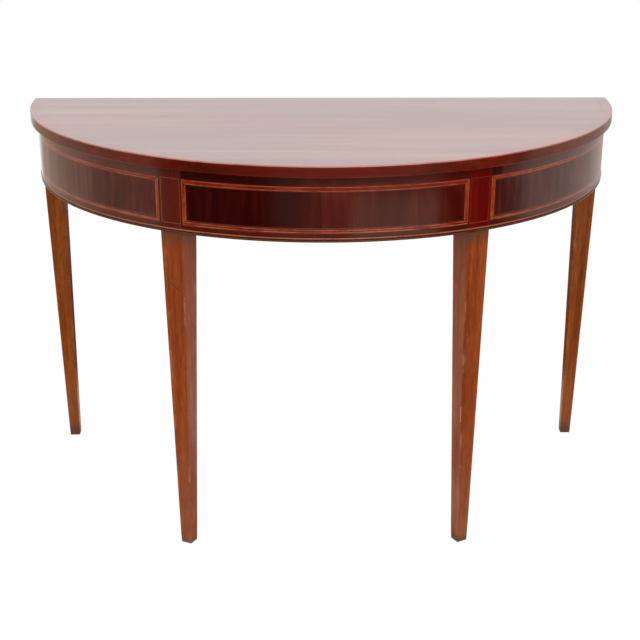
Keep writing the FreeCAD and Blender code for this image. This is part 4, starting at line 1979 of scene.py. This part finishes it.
@dataclass
class Studio:
    """Pale floor, soft light, and a dark sheet with pale cards on it that only shows in the polish."""

    floor_half: float = 40.0
    floor_colour: Colour = (0.95, 0.95, 0.95)
    near_share: float = 0.985
    near_reach: float = 0.9
    far_reach: float = 2.6
    ambient: float = 0.62
    sheet_half: float = 12.0
    sheet_height: float = 3.0 * MM
    sheet_level: float = 0.01
    left_tint: Colour = (1.0, 0.73, 0.57)
    right_tint: Colour = (1.0, 0.83, 0.73)
    tint_turn: Flat = (44.0, 74.0)
    glint_tint: Colour = (0.93, 0.97, 0.95)
    glint_turn: Flat = (-153.0, -143.0)
    cards: tuple[Card, ...] = (
        Card(-200.0, -64.0, 6.0, 0.33), Card(-200.0, -98.0, 10.0, 0.16), Card(-19.0, 46.0, 5.0, 0.13),
        Card(11.0, 44.0, 3.0, 0.35, 2.86), Card(72.0, 200.0, 5.0, 0.14), Card(82.0, 200.0, 5.0, 0.33),
        Card(-200.0, -140.0, 6.0, -0.43, 2.3), Card(140.0, 200.0, 6.0, -0.43, 2.3),
        Card(-88.0, -56.0, 5.0, -0.33, 0.85), Card(-200.0, 200.0, 1.0, 0.30, 0.40),
        Card(-140.0, -92.0, 6.0, 0.35, 1.3, 0.25), Card(92.0, 140.0, 6.0, 0.25, 1.3, 0.25),
        Card(-200.0, -149.0, 5.0, 0.40), Card(-200.0, -149.0, 5.0, -0.40, 2.5))
    key_power: float = 52.0
    key_size: float = 2.2
    key_place: Scales = (0.7, -2.3, 2.5)
    fill_power: float = 18.0
    fill_size: float = 2.5
    fill_place: Scales = (-2.2, -1.2, 2.2)
    aim: Scales = (0.0, 0.0, 0.45)

    def seen(self, bench: Bench) -> Signal:
        """Tell rays that show the backdrop from rays that light the table."""
        camera, glossy, clear = (bench.add("LightPath", None, None, f"Is {kind} Ray")
                                 for kind in ("Camera", "Glossy", "Transmission"))
        return camera.larger(glossy).larger(clear)

    def world(self) -> None:
        """Make the backdrop white and the light from it soft."""
        world = bpy.data.worlds.new("studio")
        world.use_nodes = True
        bpy.context.scene.world = world
        bench = Bench(world.node_tree)
        strength = self.ambient + self.seen(bench) * (1.0 - self.ambient)
        sky = bench.add("Background", None, {"Color": WHITE, "Strength": strength})
        bench.add("OutputWorld", None, {"Surface": sky})

    def plane(self, name: str, half: float, height: float) -> bpy.types.Object:
        """Lay a square sheet on the floor.

        Args:
            name: The sheet's name.
            half: Half the length of its sides.
            height: How high it lies.

        Returns:
            The sheet.
        """
        mesh = bpy.data.meshes.new(name)
        corners = [(x, y, height) for x, y in oblong(-half, half, -half, half)]
        mesh.from_pydata(corners, [], [tuple(range(len(corners)))])
        sheet = bpy.data.objects.new(name, mesh)
        bpy.context.scene.collection.objects.link(sheet)
        sheet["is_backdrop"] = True
        return sheet

    def floor(self) -> bpy.types.Object:
        """Lay the pale floor, which keeps a soft shadow.

        Returns:
            The floor.
        """
        floor = self.plane("floor", self.floor_half, 0.0)
        material = bpy.data.materials.new("pale_floor")
        material.use_nodes = True
        bench = Bench(material.node_tree)
        paint = bench.add("BsdfDiffuse", None, {"Color": self.floor_colour})
        white = bench.add("Emission", None, {"Color": WHITE, "Strength": 1.0})
        place = bench.add("TexCoord", None, None, "Object")
        far = bench.measure("LENGTH", place).step(self.near_reach, self.far_reach)
        share = self.seen(bench) * (self.near_share + far * (1.0 - self.near_share))
        top_side = bench.add("MixShader", None, {0: share, 1: paint, 2: white})
        below = bench.add("NewGeometry", None, None, "Backfacing")
        clear = bench.add("BsdfTransparent")
        shader = bench.add("MixShader", None, {0: below, 1: top_side, 2: clear})
        bench.add("OutputMaterial", None, {"Surface": shader})
        floor.data.materials.append(material)
        return floor

    def dark_sheet(self) -> bpy.types.Object:
        """Lay the dark sheet and its cards, for the polish alone.

        Returns:
            The sheet.
        """
        sheet = self.plane("dark_sheet", self.sheet_half, self.sheet_height)
        for kind in ("camera", "diffuse", "transmission", "shadow", "volume_scatter"):
            setattr(sheet, "visible_" + kind, False)
        material = bpy.data.materials.new("dark_room")
        material.use_nodes = True
        bench = Bench(material.node_tree)
        place = bench.add("TexCoord", None, None, "Object")
        x, y, _ = bench.parts(place)
        heading = x.heading(0.0 - y)
        away = bench.measure("LENGTH", place)
        glow: Value = self.sheet_level
        for card in self.cards:
            glow = card.glow(heading, away) + glow
        glow = glow.larger(0.0)
        tint = bench.blend(heading.step(*self.tint_turn), self.left_tint, self.right_tint)
        tint = bench.blend(heading.step(*self.glint_turn), self.glint_tint, tint)
        light = bench.add("Emission", None, {"Color": tint, "Strength": glow})
        bench.add("OutputMaterial", None, {"Surface": light})
        sheet.data.materials.append(material)
        return sheet

    def lamp(self, name: str, power: float, size: float, place: Scales) -> None:
        """Hang one soft lamp and aim it at the table.

        Args:
            name: The lamp's name.
            power: Its power in watts.
            size: Length of its sides.
            place: Where it hangs.
        """
        light = bpy.data.lights.new(name, "AREA")
        light.energy = power
        light.size = size
        lamp = bpy.data.objects.new(name, light)
        bpy.context.scene.collection.objects.link(lamp)
        lamp.location = place
        lamp.rotation_euler = (Vector(self.aim) - Vector(place)).to_track_quat("-Z", "Y").to_euler()
        lamp.visible_camera = False

    def build(self) -> Iterator[bpy.types.Object]:
        """Set up the whole studio.

        Yields:
            The floor and the sheet.
        """
        self.world()
        yield self.floor()
        yield self.dark_sheet()
        self.lamp("key_lamp", self.key_power, self.key_size, self.key_place)
        self.lamp("fill_lamp", self.fill_power, self.fill_size, self.fill_place)


@dataclass
class Viewpoint:
    """Camera at the photograph's angle."""

    place: Scales = (-0.04074, -2.41084, 1.25756)
    pitch: float = 21.990
    yaw: float = -0.834
    roll: float = 0.092
    focal_pixels: float = 1325.80
    image_width: float = 640.0
    sensor: float = 36.0
    centre_drop: float = 40.0

    def build(self) -> bpy.types.Object:
        """Make the camera and hand it to the scene.

        Returns:
            The camera.
        """
        data = bpy.data.cameras.new("camera")
        data.sensor_width = self.sensor
        data.lens = self.focal_pixels * self.sensor / self.image_width
        data.shift_y = self.centre_drop / self.image_width
        camera = bpy.data.objects.new("camera", data)
        bpy.context.scene.collection.objects.link(camera)
        turns = ((self.yaw, "Z"), (QUARTER_TURN - self.pitch, "X"), (self.roll, "Z"))
        place = Matrix.Translation(self.place)
        for angle, axis in turns:
            place = place @ Matrix.Rotation(math.radians(angle), MATRIX_SIZE, axis)
        camera.matrix_world = place
        bpy.context.scene.camera = camera
        return camera


class Finishes:
    """The table's own finishes; the tones of a wood go from dark to light."""

    top_scratches = (
        Scratch((0.2255, 0.245, 0.742), (0.2265, 0.245, 0.742), 6.0 * MM, (0.03, 0.008, 0.004)),
        Scratch((0.5429, 0.1405, 0.742), (0.5619, 0.2762, 0.742), 1.4 * MM, (0.05, 0.010, 0.005), 0.5))
    top = TopWood(
        "top_wood", seed=1.0,
        tones=((0.140, 0.0125, 0.0026), (0.220, 0.0250, 0.0065), (0.340, 0.0680, 0.0250)),
        # The worn colour along the top's front arris is partly wear and partly a painted highlight line.
        worn=(0.36, 0.12, 0.10), coat=0.49, front_coat=0.755, patch_range=(0.20, 0.55),
        scratches=top_scratches)
    back_leg = LegWood(
        "back_leg_wood", seed=15.0,
        tones=((0.170, 0.030, 0.0014), (0.280, 0.061, 0.0022), (0.390, 0.100, 0.0060)),
        worn=(0.40, 0.130, 0.045), wear_share=0.7, patch_range=(0.50, 0.68), foot_height=0.040,
        foot_colour=(0.040, 0.020, 0.012), pore=(0.07, 0.013, 0.004), shares=(0.38, 0.44, 0.18), coat=0.0,
        roughness=0.24, specular=0.4, relief=0.015 * MM, pale_share=0.0)
    front_leg = replace(
        back_leg, name="front_leg_wood", seed=11.0,
        tones=((0.165, 0.0245, 0.0022), (0.266, 0.0475, 0.0042), (0.370, 0.0810, 0.0110)),
        # Painted shade under the frieze on the heads of the front legs.
        worn=(0.48, 0.190, 0.090), specular=0.5, pale_share=0.60, head_shadow_share=0.75, foot_height=0.022,
        foot_colour=(0.075, 0.045, 0.030))
    leg_scratches = {
        Side.LEFT: Scratch((0.519, -0.0116, 0.5663), (0.503, 0.0126, 0.5663), 1.3 * MM, (0.05, 0.01, 0.004)),
        Side.RIGHT: Scratch((0.251, -0.0175, 0.5632), (0.279, -0.0179, 0.5632), 1.6 * MM, (0.62, 0.34, 0.2))}
    border = BorderWood(
        "border_wood", seed=2.0,
        tones=((0.026, 0.0010, 0.0003), (0.038, 0.0018, 0.0005), (0.056, 0.0040, 0.0014)),
        worn=(0.012, 0.001, 0.0005), coat=1.0, roughness=0.10, coat_roughness=0.05)
    # Painted reflection: the right part of the centre bay's upper border is made lighter and greyer.
    centre_border_and_reflection = replace(
        border, name="centre_border_wood", tint_bands=(TintBand(-0.040, 0.300, (2.1, 3.2, 3.0), 12.0 * MM),))
    # Lighter copy of the border for the side bays: partly a paler wood and partly painted light against the
    # shade under the top.
    side_border_and_light = replace(
        border, name="side_border_wood",
        tones=((0.062, 0.0100, 0.0050), (0.085, 0.0170, 0.0085), (0.11, 0.0260, 0.0140)))
    left_border = replace(
        side_border_and_light, name="left_border_wood",
        tint_bands=(TintBand(-0.4618, -0.4602, (0.10, 0.06, 0.06), 0.4 * MM),))
    # Painted shadow: a dark band at the left end of the right bay's upper border, beside the die, under the
    # top.
    right_border_and_shadow = replace(
        side_border_and_light, name="right_border_wood", tint_bands=(TintBand(0.290, 0.320, (0.55, 0.20, 0.15), 1.5 * MM),))
    lower = replace(
        border, name="lower_border_wood", seed=3.0,
        tones=((0.050, 0.0036, 0.0012), (0.068, 0.0058, 0.0018), (0.090, 0.0100, 0.0036)))
    red_die = replace(
        border, name="red_die_wood", seed=5.0,
        tones=((0.080, 0.0010, 0.0004), (0.108, 0.0020, 0.0008), (0.140, 0.0050, 0.0020)))
    brown_die = replace(
        border, name="brown_die_wood", seed=5.0,
        tones=((0.062, 0.0050, 0.0018), (0.084, 0.0085, 0.0034), (0.110, 0.0140, 0.0060)))
    string = PolishedWood(
        "string_wood", tones=((0.15, 0.032, 0.014), (0.19, 0.044, 0.019), (0.24, 0.062, 0.027)),
        worn=(0.08, 0.016, 0.007), wear_share=0.4, pore_share=0.1, coat=1.0)
    red_string = replace(
        string, name="red_string_wood",
        tones=((0.14, 0.010, 0.004), (0.18, 0.018, 0.007), (0.24, 0.040, 0.015)))
    # The bead's worn colour paints the highlight along its nose and a faint light line on its fillet, partly
    # as wear.
    bead = PolishedWood(
        "bead_wood", seed=4.0,
        tones=((0.026, 0.003, 0.0010), (0.036, 0.0045, 0.0015), (0.055, 0.008, 0.0030)),
        worn=(0.29, 0.078, 0.026), wear_share=0.95, coat=0.2, specular=0.35, patch_range=(0.15, 0.50))
    side_field = FlameVeneer("field_veneer", seed=1.0)
    # Painted reflections: lighter, greyer bands across the centre panel stand in for what its polish
    # reflects.
    centre_reflection_bands = (TintBand(-0.050, -0.007, (1.7, 2.2, 2.2)), TintBand(-0.007, 0.048, (2.8, 5.0, 5.0)),
                     TintBand(0.048, 0.300, (2.0, 2.8, 2.8)))
    centre_field_and_reflections = replace(
        side_field, name="centre_field_veneer",
        tones=((0.019, 0.0006, 0.0003), (0.025, 0.0009, 0.0004), (0.040, 0.0030, 0.0012)),
        tint_bands=centre_reflection_bands)
    banding = CrossBanding("banding")
    side_banding = replace(
        banding, name="side_banding", inner_line=1.9 * MM, outer_line=1.6 * MM,
        tones=((0.115, 0.0080, 0.0022), (0.185, 0.0180, 0.0050), (0.270, 0.0400, 0.0130)),
        pale=(0.46, 0.115, 0.055), pale_share=0.7)
    upright_banding = replace(
        banding, name="upright_banding",
        tones=((0.10, 0.008, 0.002), (0.17, 0.018, 0.004), (0.25, 0.036, 0.009)))
    red_banding = replace(
        upright_banding, name="red_banding",
        tones=((0.12, 0.006, 0.002), (0.20, 0.014, 0.0035), (0.32, 0.050, 0.010)))
    amber_banding = replace(
        upright_banding, name="amber_banding",
        tones=((0.15, 0.010, 0.002), (0.26, 0.034, 0.004), (0.42, 0.095, 0.012)))
    bay_seed = 0.7
    centre_bottom_line = 2.8 * MM
    side_bottom_line = 3.6 * MM
    pine = Pine("pine")
    oak = Oak("oak")
    iron = OldIron("iron")


def frieze_bays(plan: Plan) -> Iterator[FriezeBay]:
    """Set out the three bays between the legs.

    Args:
        plan: The table's main lines.

    Yields:
        Each bay, ready to build.
    """
    kit = Finishes
    inner, outer = plan.front_leg_angle - plan.front_die_half, plan.front_leg_angle + plan.front_die_half
    back = plan.back_die_angle
    bays = (("left", -back, -outer, kit.left_border, (kit.side_banding, kit.side_banding)),
            ("centre", -inner, inner, kit.centre_border_and_reflection, (kit.upright_banding, kit.red_banding)),
            ("right", outer, back, kit.right_border_and_shadow, (kit.amber_banding, kit.side_banding)))
    for number, (name, start, stop, border, uprights) in enumerate(bays):
        seed = kit.bay_seed * number
        veneer, banding, line = kit.side_field, kit.side_banding, kit.side_bottom_line
        if name == "centre":
            veneer, banding, line = kit.centre_field_and_reflections, kit.banding, kit.centre_bottom_line
        veneer = replace(veneer, name=name + "_field_veneer", seed=veneer.seed + number)
        banding = replace(banding, name=name + "_banding", seed=seed)
        uprights = tuple(replace(strip, seed=seed) for strip in uprights)
        yield FriezeBay(plan, name, start, stop, veneer, border, kit.lower, banding, uprights,
                        bottom_line=line)


def table_parts(plan: Plan) -> Iterator[Assembly]:
    """Set out every group of pieces, from the top down.

    Args:
        plan: The table's main lines.

    Yields:
        Each group, ready to build.
    """
    kit = Finishes
    yield TableTop(plan, kit.top)
    yield from frieze_bays(plan)
    leg, half = plan.front_leg_angle, plan.front_die_half
    back, end = plan.back_die_angle, plan.end_angle
    dies = (("back_left", -end, -back), ("front_left", -(leg + half), -(leg - half)),
            ("front_right", leg - half, leg + half), ("back_right", back, end))
    for number, (name, start, stop) in enumerate(dies):
        die, string = (kit.red_die, kit.red_string) if name == "front_right" else (kit.brown_die, kit.string)
        veneer = replace(die, name=name + "_die_wood", seed=die.seed + number)
        yield LegDie(plan, name, start, stop, veneer, string)
    for name, start, stop in (("left", -end, -leg), ("centre", -leg, leg), ("right", leg, end)):
        yield FootBead(plan, name, start, stop, kit.bead)
    for number, side in enumerate(Side):
        hand = side.name.lower()
        front = replace(kit.front_leg, name=f"front_leg_{hand}_wood", seed=kit.front_leg.seed + number,
                        scratches=(kit.leg_scratches[side],))
        yield FrontLegPattern().leg(plan, side, front)
        rear = replace(kit.back_leg, name=f"back_leg_{hand}_wood", seed=kit.back_leg.seed + number)
        yield BackLegPattern().leg(plan, side, rear)
    yield RailPegs(plan, kit.oak)
    yield Carcase(plan, kit.pine, kit.iron)


def write_sizes() -> None:
    """Measure the frame's box and the finished table's box; the result is not kept."""
    boxes = {"cad": CAD_BOX, "visual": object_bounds()}
    {name: [list(corner) for corner in box] for name, box in boxes.items()}


def main() -> None:
    """Build the table, its studio and its camera."""
    logging.basicConfig(level=logging.INFO, format="%(message)s")
    bpy.context.scene.view_settings.view_transform = "Standard"
    for group in table_parts(Plan()):
        for piece in group.build():
            LOG.info("%s: %s", type(group).__name__, piece.name)
    for thing in Studio().build():
        LOG.info("Studio: %s", thing.name)
    LOG.info("Viewpoint: %s", Viewpoint().build().name)
    write_sizes()


if __name__ == "__main__":
    main()
